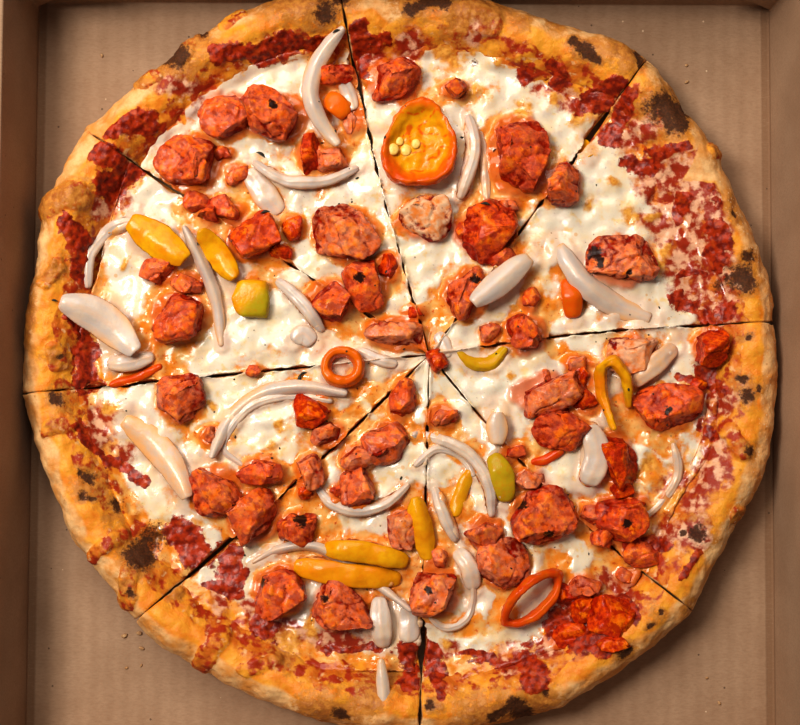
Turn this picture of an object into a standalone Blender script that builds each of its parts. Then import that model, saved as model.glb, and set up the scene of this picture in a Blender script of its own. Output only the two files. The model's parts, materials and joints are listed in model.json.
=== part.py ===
"""A pizza in its open corrugated box: folded tray, hinged lid, eight cut slices and their toppings.

All sizes are millimetres until mesh_object() scales them to metres. +X is right and +Y is up in the
photograph, +Z is up, and the origin is the middle of the tray's underside.
"""
import math

import bmesh
import bpy
import numpy as np
from mathutils import Vector, noise
from mathutils.bvhtree import BVHTree

MM = 0.001
GAP = 0.3

# The folded tray
BOARD = 3.0
TRAY_HALF = 152.5
WALL_HEIGHT = 45.0
WALL_LEAN = math.tan(math.radians(3.0))
TAB_THICK = 3.0
TAB_ROOT = 1.0
TAB_OUTLINE = ((0.0, 4.0), (8.0, 12.0), (13.0, 15.5), (20.0, 19.0), (27.0, 24.0), (27.0, 43.0), (0.0, 43.0))

# The lid, which lies open with its far edge on the table
HINGE_SLACK = 0.15
LID_FROM = 0.4
LID_LENGTH = 315.8
FLAP_DEEP = 20.0
FLAP_ROOT = 1.0
SIDE_FLAP_X = 153.0
SIDE_FLAP_FROM = 12.0
SIDE_FLAP_TO = 303.0
FRONT_FLAP_AT = 311.0
FRONT_FLAP_HALF = 146.0
FLAP_TAPER = 7.0
LID_CLEAR = 0.1

# The pizza's plan: its middle, the knife's crossing point and the rim as (degrees, radius)
PIZZA_X, PIZZA_Y = -2.0, 5.0
CROSS_X, CROSS_Y = 11.0, 5.0
RIM = (
    (5, 152.6), (13, 154.0), (22, 150.4), (32, 152.4), (41, 153.9), (50, 157.0), (60, 152.8),
    (69, 148.6), (82, 150.0), (99, 150.5), (108, 153.4), (124, 153.4), (135, 152.4), (145, 155.4),
    (157, 155.0), (168, 150.4), (186, 151.8), (194, 149.2), (202, 148.6), (211, 149.8), (221, 147.4),
    (226, 149.4), (243, 147.6), (256, 149.0), (274, 151.0), (294, 154.0), (310, 154.6), (319, 155.8),
    (328, 151.8), (342, 154.2),
)
RIM_LIMIT = 152.6
TIP_RADIUS = 5.0

# Each knife cut: degrees at the rim, widest opening, sideways bow
CUTS = (
    (5.0, 1.2, 3.0), (50.1, 3.4, 0.0), (99.3, 2.8, 2.6), (144.7, 1.4, 0.0),
    (186.4, 1.8, 0.0), (225.8, 2.4, 2.0), (273.6, 4.0, 0.0), (319.2, 1.0, -5.4),
)
CUT_NARROW = 0.7
CUT_SWELL_FROM = 0.42

# The dough's section: distance in from the rim, height of its top and of its underside
DOUGH_FROM = BOARD + GAP
SECTION_IN = (0.0, 0.9, 2.8, 6.5, 11.5, 16.5, 20.5, 25.0, 29.0, 40.0)
SECTION_TOP = (12.5, 16.0, 19.6, 22.6, 23.6, 21.6, 17.2, 10.6, 6.5, 6.5)
SECTION_UNDER = (9.0, 5.6, 2.9, 0.9, 0.0, 0.0, 0.0, 0.0, 0.0, 0.0)
CRUST_SWELL = 0.10
CRUST_SWELL_SIZE = 30.0
CRUST_REACH = 32.0
ROWS_ON_CRUST = (0.0, 0.9, 2.8, 6.5, 11.5)
ROWS_PAST_EDGE = (0.0, 4.5, 9.0, 14.5)
CHEESE_ROWS_TO_TIP = 7
DOUGH_ROWS_TO_TIP = 2
ACROSS = 8

# The cheese and sauce layer
CHEESE_EDGE = 17.5
CHEESE_EDGE_WAVE = 2.5
CHEESE_EDGE_WAVE_SIZE = 22.0
CHEESE_LEVEL = 14.4
CHEESE_WAVE = 1.1
CHEESE_WAVE_SIZE = 26.0
CHEESE_RIPPLE_SIZE = 11.0
CHEESE_EDGE_THICK = (0.9, 1.4, 1.9, 2.6)
SAUCE_DIP = 2.2
SAUCE_SPREAD = 1.4
SAUCE_THINNING = 0.4
# Where the sauce shows through the cheese: x, y, radius
SAUCE = (
    (-116, 97, 10), (-115, 78, 8), (-128, 58, 8), (-66, 124, 9), (-48, 128, 8), (-129, 8, 9),
    (-108, -38, 9), (-86, -72, 8), (-66, -84, 9), (2, -117, 7), (52, -122, 11), (72, -106, 11),
    (51, 119, 6), (80, 111, 9), (92, 102, 9), (98, 84, 10), (126, 55, 8), (124, 26, 9), (-17, 128, 7),
)

# Chicken that is a node of its own: x, y, width, depth, height, turn in degrees
CHICKEN = (
    (-71, 102, 21, 17, 12, 20), (-53, 101, 26, 18, 13, -15), (-86, 83, 23, 20, 13, 30),
    (-23, 54, 26, 22, 13, 5), (-61, 52, 21, 18, 12, 10), (-90, 20, 22, 19, 13, 15),
    (-30, 26, 18, 16, 10, -30), (-3, 14, 22, 12, 10, -10), (46, 87, 25, 34, 15, 8),
    (-5, 117, 22, 15, 11, 25), (64, 74, 15, 18, 10, -20), (35, 55, 20, 25, 13, -15),
    (9, 60, 20, 18, 12, 0), (88, 43, 27, 20, 12, 5), (26, 30, 14, 20, 11, -20),
    (50, 14, 15, 16, 11, 35), (125, 8, 16, 14, 12, 0), (87, -60, 18, 19, 12, 30),
    (56, -59, 25, 20, 14, 20), (13, -90, 18, 22, 12, -10), (-89, -13, 18, 19, 12, 10),
    (-74, -50, 20, 20, 13, 20), (-60, -60, 24, 15, 12, 40), (-49, -90, 20, 21, 13, 15),
)

# Chicken and pepper bits fused to the cheese: x, y, width, depth, height, turn
BITS = (
    (-14, 33, 15, 18, 10, 20), (93, 5, 18, 15, 7, 0), (106, -16, 24, 17, 11, 0),
    (65, -25, 19, 15, 9, 0), (-6, -30, 15, 15, 10, 25), (86, -37, 13, 22, 9, 15),
    (83, -99, 16, 15, 9, 0), (-24, -96, 22, 16, 10, -25), (41, -79, 18, 19, 10, 10),
    (59, -11, 29, 13, 10, 12), (-27, 118, 13, 7, 6, 0), (-38, 86, 9, 14, 7, 0),
    (-29, 84, 12, 11, 6, 20), (-73, 63, 15, 9, 6, 0), (-99, 38, 12, 10, 8, 0),
    (-87, 33, 12, 8, 7, 0), (21, 113, 9, 7, 5, 30), (35, 14, 8, 7, 5, 0),
    (45, -34, 8, 6, 5, 0), (96, -73, 14, 11, 7, 15), (33, -66, 13, 13, 8, 0),
    (51, -45, 12, 7, 6, 0), (0, -65, 10, 14, 8, 0), (-18, -49, 13, 14, 9, 0),
    (-17, -37, 12, 9, 7, 0), (0, -13, 9, 15, 8, 0), (-36, -17, 14, 12, 9, 0),
    (-30, -27, 12, 9, 7, 0), (-42, -65, 13, 12, 9, 0), (-37, -42, 10, 12, 8, 0),
    (-57, -42, 16, 9, 8, 0), (16, -20, 11, 8, 5, 20), (72, -88, 12, 9, 6, 0),
    (-27, 107, 11, 10, 5, 0), (-61, 27, 13, 14, 7, 0),
)

# Onion strips and petals: width, thickness, then the path
ONION = (
    (8, 3.6, (-24, 136), (-33, 126), (-38, 112), (-34, 99), (-26, 89)),
    (16, 5.0, (-136, 25), (-122, 20), (-112, 11), (-106, 5)),
    (6, 3.4, (-88, 56), (-81, 42), (-75, 26), (-73, 8)),
    (7, 3.4, (-76, -37), (-70, -22), (-57, -11), (-40, -8), (-22, -11)),
    (13, 4.2, (-112, -22), (-100, -31), (-90, -43), (-85, -53)),
    (12, 4.4, (28, 25), (39, 34), (51, 44)),
    (11, 3.8, (63, 50), (70, 37), (82, 27), (100, 20)),
    (12, 4.0, (38, -18), (38, -31)),
    (7, 3.2, (-8, -115), (-7, -126), (-6, -137)),
    (5, 3.2, (-60, -79), (-49, -73), (-34, -72), (-20, -80), (-4, -91), (4, -97)),
)

# Pepper strips: width, thickness, then the path
PEPPER = (
    (15, 5.0, (-110, 58), (-98, 50), (-87, 42)),
    (11, 5.0, (-81, 54), (-74, 44), (-67, 35)),
    (8, 5.0, (22, 7), (28, 1), (37, 1), (42, 8)),
    (10, 5.0, (5, -52), (8, -64), (11, -77)),
    (6, 4.6, (84, -25), (80, -10), (79, 0), (84, 3), (89, -3), (91, -16)),
)

# Onion and pepper strips fused to the cheese: width, thickness, then the path
FUSED_STRIPS = (
    (11, 4.0, (75, -23), (78, -35), (74, -47)), (8, 3.4, (109, 8), (101, 1), (93, -6)),
    (9, 3.8, (-9, -92), (-8, -102), (-7, -112)),
    (9, 4.0, (66, 35), (69, 23)), (9, 4.2, (36, -37), (41, -53)),
    (5, 3.2, (-109, 58), (-120, 54), (-126, 45), (-127, 32)),
    (4.5, 3.0, (-60, 82), (-46, 75), (-30, 76), (-19, 81)),
    (5, 3.2, (-50, 34), (-40, 25), (-33, 15)), (5, 3.2, (26, 102), (28, 88), (23, 68)),
    (4.5, 3.0, (16, -29), (27, -35), (35, -47), (36, -59)),
    (4.5, 3.0, (-33, -50), (-22, -57), (-8, -56), (0, -50)),
    (6, 3.2, (-118, 1), (-101, 3)), (5.5, 3.4, (15, -49), (18, -60), (23, -70)),
    (7, 3.4, (24, -74), (29, -88)),
    (9, 4.4, (-30, -73), (-14, -74), (2, -78)), (9, 3.6, (-42, -79), (-22, -83), (-2, -86)),
)

# Pepper rings: ring width, thickness, then middle, half width, half depth, turn
PEPPER_RINGS = (
    (6.0, 7.0, -24, 0, 7.5, 6.8, 0),
    (5.0, 6.0, 52, -92, 14.5, 7.0, 42),
)

# The cup cut from a pepper's end: middle, half width, half depth, turn, wall height, floor height
PEPPER_CUP = (6.5, 89, 15.5, 20.0, -12, 10.0, 5.5)
CUP_SEGMENTS = 14
CUP_FOOT, CUP_MOUTH, CUP_LIP, CUP_HOLLOW = 0.80, 0.93, 0.78, 0.60
CUP_WIDEST_AT = 0.45
CUP_LIP_DROP = 0.6
CUP_LOBES = 0.10
CUP_LOBES_TURN = 0.8
CUP_OVAL = 0.05
RING_CONTROLS = 8

# A strip's section as shares of its width and thickness, and how its ends taper
STRIP_SECTION = ((-0.5, 0.35), (-0.24, 1.0), (0.24, 1.0), (0.5, 0.35), (0.28, 0.0), (-0.28, 0.0))
STRIP_END = 0.45
STRIP_TAPER = 0.6

# How toppings lie on the cheese or sink into it
DRAPE_GAP = 0.35
DRAPE_REACH = 3
LIFT_STEP = 0.25
MOST_LIFTS = 24
BIT_SINK = 1.4
BIT_CLEAR = 0.56
SMALL_BIT = 12.5
FOOT_SHARE = 0.3
FOOT_RISE = 4.0
LEAST_SIDE = 1.5
SIDE_RISE = 3.0
BIT_RISE = 2.0
LUMP_NOISE = 1.4
SEED_STEP = 3.7
PATH_STEP = 7.5
LEVEL_NORMAL = 0.9999999
GRID_HALF = 162

# Plain colours and roughness
LOOKS = {
    "cardboard": ((0.42, 0.27, 0.17), 0.85),
    "crust": ((0.72, 0.42, 0.16), 0.6),
    "cheese": ((0.86, 0.74, 0.52), 0.4),
    "chicken": ((0.62, 0.13, 0.02), 0.5),
    "onion": ((0.86, 0.76, 0.62), 0.35),
    "pepper": ((0.80, 0.42, 0.02), 0.25),
}


def clear_scene():
    for obj in list(bpy.data.objects):
        bpy.data.objects.remove(obj, do_unlink=True)


def material(slot):
    found = bpy.data.materials.get(slot)
    if found:
        return found
    colour, roughness = LOOKS[slot]
    made = bpy.data.materials.new(slot)
    made.use_nodes = True
    shader = made.node_tree.nodes["Principled BSDF"]
    shader.inputs["Base Color"].default_value = (*colour, 1.0)
    shader.inputs["Roughness"].default_value = roughness
    shader.inputs["Metallic"].default_value = 0.0
    return made


def merge_flat(work):
    """Joins the level faces that look straight up or down and touch, to save triangles."""
    for sense in (1.0, -1.0):
        flat = [f for f in work.faces if sense * f.normal.z > LEVEL_NORMAL]
        if len(flat) > 1:
            bmesh.ops.dissolve_faces(work, faces=flat)


def mesh_object(name, points, faces, slot, flatten=False):
    """Makes the object, scaled from millimetres to metres, with its faces turned outward."""
    mesh = bpy.data.meshes.new(name)
    mesh.from_pydata([Vector(p) * MM for p in points], [], faces)
    work = bmesh.new()
    work.from_mesh(mesh)
    bmesh.ops.recalc_face_normals(work, faces=work.faces)
    if flatten:
        work.normal_update()
        merge_flat(work)
    bmesh.ops.triangulate(work, faces=[f for f in work.faces if len(f.verts) > 4])
    work.to_mesh(mesh)
    work.free()
    obj = bpy.data.objects.new(name, mesh)
    obj.data.materials.append(material(slot))
    bpy.context.scene.collection.objects.link(obj)
    return obj


def smooth(obj):
    obj.data.polygons.foreach_set("use_smooth", [True] * len(obj.data.polygons))
    return obj


def drop_scraps(mesh):
    """Keeps only the largest of the mesh's separate islands."""
    work = bmesh.new()
    work.from_mesh(mesh)
    left = set(work.verts)
    islands = []
    while left:
        front = [left.pop()]
        island = set(front)
        while front:
            vert = front.pop()
            near = {edge.other_vert(vert) for edge in vert.link_edges} & left
            left -= near
            island |= near
            front += near
        islands.append(island)
    islands.sort(key=len)
    bmesh.ops.delete(work, geom=[v for island in islands[:-1] for v in island], context="VERTS")
    work.to_mesh(mesh)
    work.free()


def join(name, parts, slot, solver="EXACT"):
    """Unites parts with the first one by one applied Boolean, and removes the others."""
    first = parts[0]
    others = bpy.data.collections.new(name + "_parts")
    bpy.context.scene.collection.children.link(others)
    for part in parts[1:]:
        bpy.context.scene.collection.objects.unlink(part)
        others.objects.link(part)
    union = first.modifiers.new("join", "BOOLEAN")
    union.operation = "UNION"
    union.operand_type = "COLLECTION"
    union.collection = others
    union.solver = solver
    bpy.context.view_layer.update()
    graph = bpy.context.evaluated_depsgraph_get()
    made = bpy.data.meshes.new_from_object(first.evaluated_get(graph))
    drop_scraps(made)
    first.modifiers.clear()
    first.data = made
    first.data.materials.clear()
    first.data.materials.append(material(slot))
    first.name = name
    for part in list(others.objects):
        bpy.data.objects.remove(part, do_unlink=True)
    bpy.data.collections.remove(others)
    return first


# Box

def wall_inner(z):
    """Distance of a wall's inner face from the tray's middle at height z."""
    return TRAY_HALF + WALL_LEAN * (z - BOARD)


def square_ring(half, z):
    return [(-half, -half, z), (half, -half, z), (half, half, z), (-half, half, z)]


def tray():
    """The folded tray: floor and four leaning walls, with the side walls' tabs folded in at the back."""
    rings = [
        square_ring(wall_inner(0.0) + BOARD, 0.0),
        square_ring(wall_inner(WALL_HEIGHT) + BOARD, WALL_HEIGHT),
        square_ring(wall_inner(WALL_HEIGHT), WALL_HEIGHT),
        square_ring(wall_inner(BOARD), BOARD),
    ]
    points = [p for ring in rings for p in ring]
    faces = [(3, 2, 1, 0), (12, 13, 14, 15)]
    for level in range(3):
        for side in range(4):
            a, b = level * 4 + side, level * 4 + (side + 1) % 4
            faces.append((a, b, b + 4, a + 4))
    body = mesh_object("tray", points, faces, "cardboard")
    return join("tray", [body, tab(-1), tab(1)], "cardboard")


def tab(side):
    """One corner tab, which stands in front of the back wall and is fused to both walls."""
    points = []
    for inward in (-TAB_ROOT, TAB_THICK):
        for out, z in TAB_OUTLINE:
            from_wall = out if out else -TAB_ROOT
            points.append((side * (wall_inner(z) - from_wall), wall_inner(z) - inward, z))
    count = len(TAB_OUTLINE)
    faces = [tuple(range(count)), tuple(reversed(range(count, 2 * count)))]
    faces += [(k, (k + 1) % count, (k + 1) % count + count, k + count) for k in range(count)]
    return mesh_object("tab", points, faces, "cardboard")


def hinge_point():
    return wall_inner(WALL_HEIGHT) + BOARD, WALL_HEIGHT + HINGE_SLACK


def lid_slope():
    """Angle at which the open lid's far edge comes down to the table."""
    height = hinge_point()[1] - BOARD - HINGE_SLACK - LID_CLEAR
    return math.asin(height / LID_LENGTH)


def lid_place(x, along, up):
    """A point of the lid, from its distance out from the hinge and its height on the inner side."""
    hinge_y, hinge_z = hinge_point()
    slope = lid_slope()
    y = hinge_y + along * math.cos(slope) + up * math.sin(slope)
    z = hinge_z - along * math.sin(slope) + up * math.cos(slope)
    return (x, y, z)


def lid_block(corners_low, corners_high, low, high):
    """A closed block between two outlines of (x, along) corners at heights low and high."""
    points = [lid_place(x, along, low) for x, along in corners_low]
    points += [lid_place(x, along, high) for x, along in corners_high]
    count = len(corners_low)
    faces = [tuple(reversed(range(count))), tuple(range(count, 2 * count))]
    faces += [(k, (k + 1) % count, (k + 1) % count + count, k + count) for k in range(count)]
    return mesh_object("lid_block", points, faces, "cardboard")


def rectangle(x0, x1, s0, s1):
    return [(x0, s0), (x1, s0), (x1, s1), (x0, s1)]


def lid():
    """The lid panel with two side flaps and a front flap, all one folded sheet."""
    half = wall_inner(WALL_HEIGHT) + BOARD
    top = -HINGE_SLACK
    panel = rectangle(-half, half, LID_FROM, LID_LENGTH)
    parts = [lid_block(panel, panel, top - BOARD, top)]
    for side in (-1, 1):
        outer, inner = side * SIDE_FLAP_X, side * (SIDE_FLAP_X - BOARD)
        foot = rectangle(inner, outer, SIDE_FLAP_FROM, SIDE_FLAP_TO)
        tip = rectangle(inner, outer, SIDE_FLAP_FROM + FLAP_TAPER, SIDE_FLAP_TO - FLAP_TAPER)
        parts.append(lid_block(foot, tip, top - FLAP_ROOT, FLAP_DEEP))
    foot = rectangle(-FRONT_FLAP_HALF, FRONT_FLAP_HALF, FRONT_FLAP_AT - BOARD, FRONT_FLAP_AT)
    tip_half = FRONT_FLAP_HALF - FLAP_TAPER
    tip = rectangle(-tip_half, tip_half, FRONT_FLAP_AT - BOARD, FRONT_FLAP_AT)
    parts.append(lid_block(foot, tip, top - FLAP_ROOT, FLAP_DEEP))
    return join("lid", parts, "cardboard")


# The pizza's plan

def rim_radius(degrees):
    """Rim radius by Catmull-Rom interpolation round the table of rim points."""
    degrees %= 360.0
    angles = [a for a, _ in RIM]
    count = len(RIM)
    after = next((k for k, a in enumerate(angles) if a > degrees), 0)
    k0, k1, k2, k3 = ((after + step) % count for step in (-2, -1, 0, 1))
    span = (angles[k2] - angles[k1]) % 360.0
    t = ((degrees - angles[k1]) % 360.0) / span
    r0, r1, r2, r3 = (RIM[k][1] for k in (k0, k1, k2, k3))
    cubic = (3 * (r1 - r2) + r3 - r0) * t + 2 * r0 - 5 * r1 + 4 * r2 - r3
    return r1 + 0.5 * t * ((r2 - r0) + t * cubic)


def rim_point(degrees):
    turn = math.radians(degrees)
    radius = rim_radius(degrees)
    x = PIZZA_X + radius * math.cos(turn)
    y = PIZZA_Y + radius * math.sin(turn)
    return Vector((max(-RIM_LIMIT, min(RIM_LIMIT, x)), max(-RIM_LIMIT, min(RIM_LIMIT, y))))


def cut_direction(index):
    """Unit vector along a cut from the crossing point, and its left-hand normal."""
    along = (rim_point(CUTS[index][0]) - Vector((CROSS_X, CROSS_Y))).normalized()
    return along, Vector((-along.y, along.x))


def cut_opening(index, v):
    """Half the cut's width at share v of the way to the rim: widest just inside the crust."""
    swell = math.sin(math.pi * min(1.0, max(0.0, (v - CUT_SWELL_FROM) / (1.0 - CUT_SWELL_FROM)))) ** 2
    return 0.5 * (CUT_NARROW + (CUTS[index][1] - CUT_NARROW) * swell)


def plan_point(index, u, inward):
    """Plan position in slice index, u across from its first cut to the next, inward from the rim."""
    following = (index + 1) % len(CUTS)
    start = CUTS[index][0]
    end = CUTS[following][0] + (360.0 if following == 0 else 0.0)
    cross = Vector((CROSS_X, CROSS_Y))
    rim = rim_point(start + (end - start) * u)
    reach = (rim - cross).length
    v = max(TIP_RADIUS, reach - inward) / reach
    place = cross + (rim - cross) * v
    bow = math.sin(math.pi * v)
    for share, cut, sense in ((1.0 - u, index, 1.0), (u, following, -1.0)):
        normal = cut_direction(cut)[1]
        place += normal * share * (CUTS[cut][2] * bow + sense * cut_opening(cut, v))
    return place, reach


def noise_at(x, y, size, seed):
    return noise.noise(Vector((x / size, y / size, seed)))


def section(inward, heights):
    return float(np.interp(inward, SECTION_IN, heights))


def row_distances(index, u, rows_to_tip):
    """Distances in from the rim: the first rows are shared by the dough's top and the cheese."""
    place, reach = plan_point(index, u, CHEESE_EDGE)
    edge = CHEESE_EDGE + CHEESE_EDGE_WAVE * noise_at(place.x, place.y, CHEESE_EDGE_WAVE_SIZE, 3.0)
    rows = [edge + step for step in ROWS_PAST_EDGE]
    last = reach - TIP_RADIUS
    step = (last - rows[-1]) / rows_to_tip
    return rows + [rows[-1] + step * k for k in range(1, rows_to_tip + 1)]


def dough_heights(place, inward):
    swell = 1.0 + CRUST_SWELL * noise_at(place.x, place.y, CRUST_SWELL_SIZE, 8.0)
    crusty = max(0.0, 1.0 - inward / CRUST_REACH)
    top = section(inward, SECTION_TOP) * (1.0 + (swell - 1.0) * min(1.0, 2.0 * crusty))
    return DOUGH_FROM + top, DOUGH_FROM + section(inward, SECTION_UNDER)


def closed_sheet(name, upper, lower, slot):
    """A closed solid between two grids of points with the same rows and columns."""
    rows, columns = len(upper), len(upper[0])
    points = [p for grid in (upper, lower) for row in grid for p in row]
    base = rows * columns
    faces = []
    for r in range(rows - 1):
        for c in range(columns - 1):
            a = r * columns + c
            for corner in ((a, a + 1, a + columns + 1), (a, a + columns + 1, a + columns)):
                faces.append(corner)
                faces.append(tuple(base + k for k in reversed(corner)))
    border = [(0, c) for c in range(columns)]
    border += [(r, columns - 1) for r in range(1, rows)]
    border += [(rows - 1, c) for c in range(columns - 2, -1, -1)]
    border += [(r, 0) for r in range(rows - 2, 0, -1)]
    ids = [r * columns + c for r, c in border]
    for a, b in zip(ids, ids[1:] + ids[:1]):
        faces.append((a, base + a, base + b, b))
    return smooth(mesh_object(name, points, faces, slot, flatten=True))


def dough_slice(index):
    upper, lower = [], []
    columns = [k / ACROSS for k in range(ACROSS + 1)]
    distances = [list(ROWS_ON_CRUST) + row_distances(index, u, DOUGH_ROWS_TO_TIP) for u in columns]
    for row in range(len(distances[0])):
        tops, unders = [], []
        for u, down in zip(columns, distances):
            place = plan_point(index, u, down[row])[0]
            top, under = dough_heights(place, down[row])
            tops.append((place.x, place.y, top))
            unders.append((place.x, place.y, under))
        upper.append(tops)
        lower.append(unders)
    return closed_sheet(f"dough_{index + 1}", upper, lower, "crust")


def cheese_top(x, y, under, row):
    """Height of the cheese's top: level in the middle, thin on the crust, dipped where the sauce shows."""
    wave = CHEESE_WAVE * noise_at(x, y, CHEESE_WAVE_SIZE, 1.0)
    relief = wave + 0.5 * CHEESE_WAVE * noise_at(x, y, CHEESE_RIPPLE_SIZE, 2.0)
    dip = 0.0
    for sx, sy, radius in SAUCE:
        near = 1.0 - min(1.0, math.hypot(x - sx, y - sy) / (SAUCE_SPREAD * radius))
        dip = max(dip, near * near * (3.0 - 2.0 * near))
    level = CHEESE_LEVEL + relief - SAUCE_DIP * dip
    thick = CHEESE_EDGE_THICK[min(row, len(CHEESE_EDGE_THICK) - 1)] * (1.0 - SAUCE_THINNING * dip)
    return max(level, under + thick)


def cheese_slice(index):
    upper, lower = [], []
    columns = [k / ACROSS for k in range(ACROSS + 1)]
    distances = [row_distances(index, u, CHEESE_ROWS_TO_TIP) for u in columns]
    for row in range(len(distances[0])):
        tops, unders = [], []
        for u, down in zip(columns, distances):
            place = plan_point(index, u, down[row])[0]
            under = dough_heights(place, down[row])[0] + GAP
            tops.append((place.x, place.y, cheese_top(place.x, place.y, under, row)))
            unders.append((place.x, place.y, under))
        upper.append(tops)
        lower.append(unders)
    return closed_sheet(f"cheese_{index + 1}", upper, lower, "cheese")


# Heights that toppings are laid on

class Ground:
    """The highest surface so far over a millimetre grid, and the pieces that made it."""

    def __init__(self):
        cells = 2 * GRID_HALF + 1
        self.height = np.full((cells, cells), DOUGH_FROM)
        self.trees = []

    def add(self, obj):
        verts = [v.co / MM for v in obj.data.vertices]
        faces = [tuple(p.vertices) for p in obj.data.polygons]
        tree = BVHTree.FromPolygons(verts, faces)
        low = [min(v[k] for v in verts) for k in range(3)]
        high = [max(v[k] for v in verts) for k in range(3)]
        self.trees.append((tree, low, high))
        down = Vector((0.0, 0.0, -1.0))
        for gx in range(math.ceil(low[0]), math.floor(high[0]) + 1):
            for gy in range(math.ceil(low[1]), math.floor(high[1]) + 1):
                hit = tree.ray_cast(Vector((gx, gy, high[2] + 1.0)), down)[0]
                if hit is not None and hit.z > self.height[gx + GRID_HALF, gy + GRID_HALF]:
                    self.height[gx + GRID_HALF, gy + GRID_HALF] = hit.z

    def top(self, x, y, reach=DRAPE_REACH):
        """Highest ground within reach of a place."""
        gx, gy = round(x) + GRID_HALF, round(y) + GRID_HALF
        window = self.height[max(0, gx - reach):gx + reach + 1, max(0, gy - reach):gy + reach + 1]
        return float(window.max())

    def crosses(self, points, faces):
        """Whether a piece's faces cut those of an earlier piece."""
        tree = BVHTree.FromPolygons([Vector(p) for p in points], faces)
        low = [min(p[k] for p in points) for k in range(3)]
        high = [max(p[k] for p in points) for k in range(3)]
        for other, other_low, other_high in self.trees:
            apart = any(low[k] > other_high[k] or high[k] < other_low[k] for k in range(3))
            if not apart and tree.overlap(other):
                return True
        return False


def ground_of(pieces):
    ground = Ground()
    for piece in pieces:
        ground.add(piece)
    return ground


def lay(name, points, faces, slot, ground):
    """Raises a piece in small steps until it crosses nothing, then makes it and adds it to the ground."""
    lifted = 0
    while ground.crosses(points, faces) and lifted < MOST_LIFTS:
        points = [(x, y, z + LIFT_STEP) for x, y, z in points]
        lifted += 1
    obj = smooth(mesh_object(name, points, faces, slot))
    ground.add(obj)
    return obj


# Toppings

def lump(width, depth, turn, seed, detail=2, blocky=0.72, rough=0.16):
    """Points on a lumpy, slightly boxy ball, in units of its own height: x, y in mm and z from 0 to 1."""
    ball = bmesh.new()
    bmesh.ops.create_icosphere(ball, subdivisions=detail, radius=1.0)
    sin_turn, cos_turn = math.sin(math.radians(turn)), math.cos(math.radians(turn))
    places = []
    for vert in ball.verts:
        p = vert.co
        swell = 1.0 + rough * noise.noise(p * LUMP_NOISE + Vector((seed * SEED_STEP, 0.0, 0.0)))
        q = Vector([math.copysign(abs(c) ** blocky, c) for c in p]) * swell
        x, y = q.x * width / 2, q.y * depth / 2
        places.append((x * cos_turn - y * sin_turn, x * sin_turn + y * cos_turn, 0.5 + 0.5 * q.z))
    faces = [tuple(v.index for v in f.verts) for f in ball.faces]
    ball.free()
    return places, faces


def chicken_piece(number, row, ground):
    """A chunk whose underside follows the ground and whose top stands level."""
    x, y, width, depth, height, turn = row
    shape, faces = lump(width, depth, turn, number)
    seat = sum(ground.top(x + px, y + py) for px, py, _ in shape) / len(shape)
    points = []
    for px, py, share in shape:
        under = ground.top(x + px, y + py) + DRAPE_GAP
        if share < FOOT_SHARE:
            z = under + FOOT_RISE * max(0.0, share)
        else:
            z = max(seat + height * share, under + LEAST_SIDE + SIDE_RISE * (share - FOOT_SHARE))
        points.append((x + px, y + py, z))
    return lay(f"chicken_{number + 1:02d}", points, faces, "chicken", ground)


def sunk(x, y, ground, dough):
    """Height a little below the cheese's top, and never more than halfway down to the dough."""
    top, floor = ground.top(x, y, 0), dough.top(x, y, 1) + GAP
    return max(top - BIT_SINK, (top + floor) / 2, floor + GAP)


def fused_bit(number, row, ground, dough):
    """A small bit sunk into the cheese, ready to be fused with it."""
    x, y, width, depth, height, turn = row
    detail = 2 if max(width, depth) > SMALL_BIT else 1
    shape, faces = lump(width, depth, turn, number + 50, detail)
    seat = sum(ground.top(x + px, y + py, 0) for px, py, _ in shape) / len(shape)
    points = []
    for px, py, share in shape:
        under = sunk(x + px, y + py, ground, dough)
        z = under + share if share < FOOT_SHARE else max(seat + height * share, under + BIT_RISE * share)
        points.append((x + px, y + py, z))
    return mesh_object(f"bit_{number}", points, faces, "cheese")


def fused_strip(number, width, thick, controls, ground, dough):
    """A strip sunk into the cheese along its path, ready to be fused with it."""
    places = path_through(controls)
    levels = [sunk(p.x, p.y, ground, dough) for p in places]
    points, faces = strip_shape(places, levels, width, thick + BIT_SINK)
    points = [(x, y, max(z, sunk(x, y, ground, dough))) for x, y, z in points]
    return mesh_object(f"strip_{number}", points, faces, "cheese")


def slice_at(x, y):
    """Index of the slice over which a place lies, by its angle from the crossing point."""
    angle = math.degrees(math.atan2(y - CROSS_Y, x - CROSS_X)) % 360.0
    rims = [cut_direction(k)[0] for k in range(len(CUTS))]
    starts = [math.degrees(math.atan2(d.y, d.x)) % 360.0 for d in rims]
    behind = [(angle - start) % 360.0 for start in starts]
    return behind.index(min(behind))


def inside_slice(x, y, radius):
    """The place, moved away from the two nearest cuts until its radius clears them."""
    index = slice_at(x, y)
    for cut, sense in ((index, 1.0), ((index + 1) % len(CUTS), -1.0)):
        along, normal = cut_direction(cut)
        reach = (rim_point(CUTS[cut][0]) - Vector((CROSS_X, CROSS_Y))).length
        offset = Vector((x - CROSS_X, y - CROSS_Y))
        v = max(0.0, min(1.0, offset.dot(along) / reach))
        line = CUTS[cut][2] * math.sin(math.pi * v)
        clear = sense * (offset.dot(normal) - line) - cut_opening(cut, v) - radius
        if clear < 0.0:
            x -= sense * clear * normal.x
            y -= sense * clear * normal.y
    return index, x, y


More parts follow.
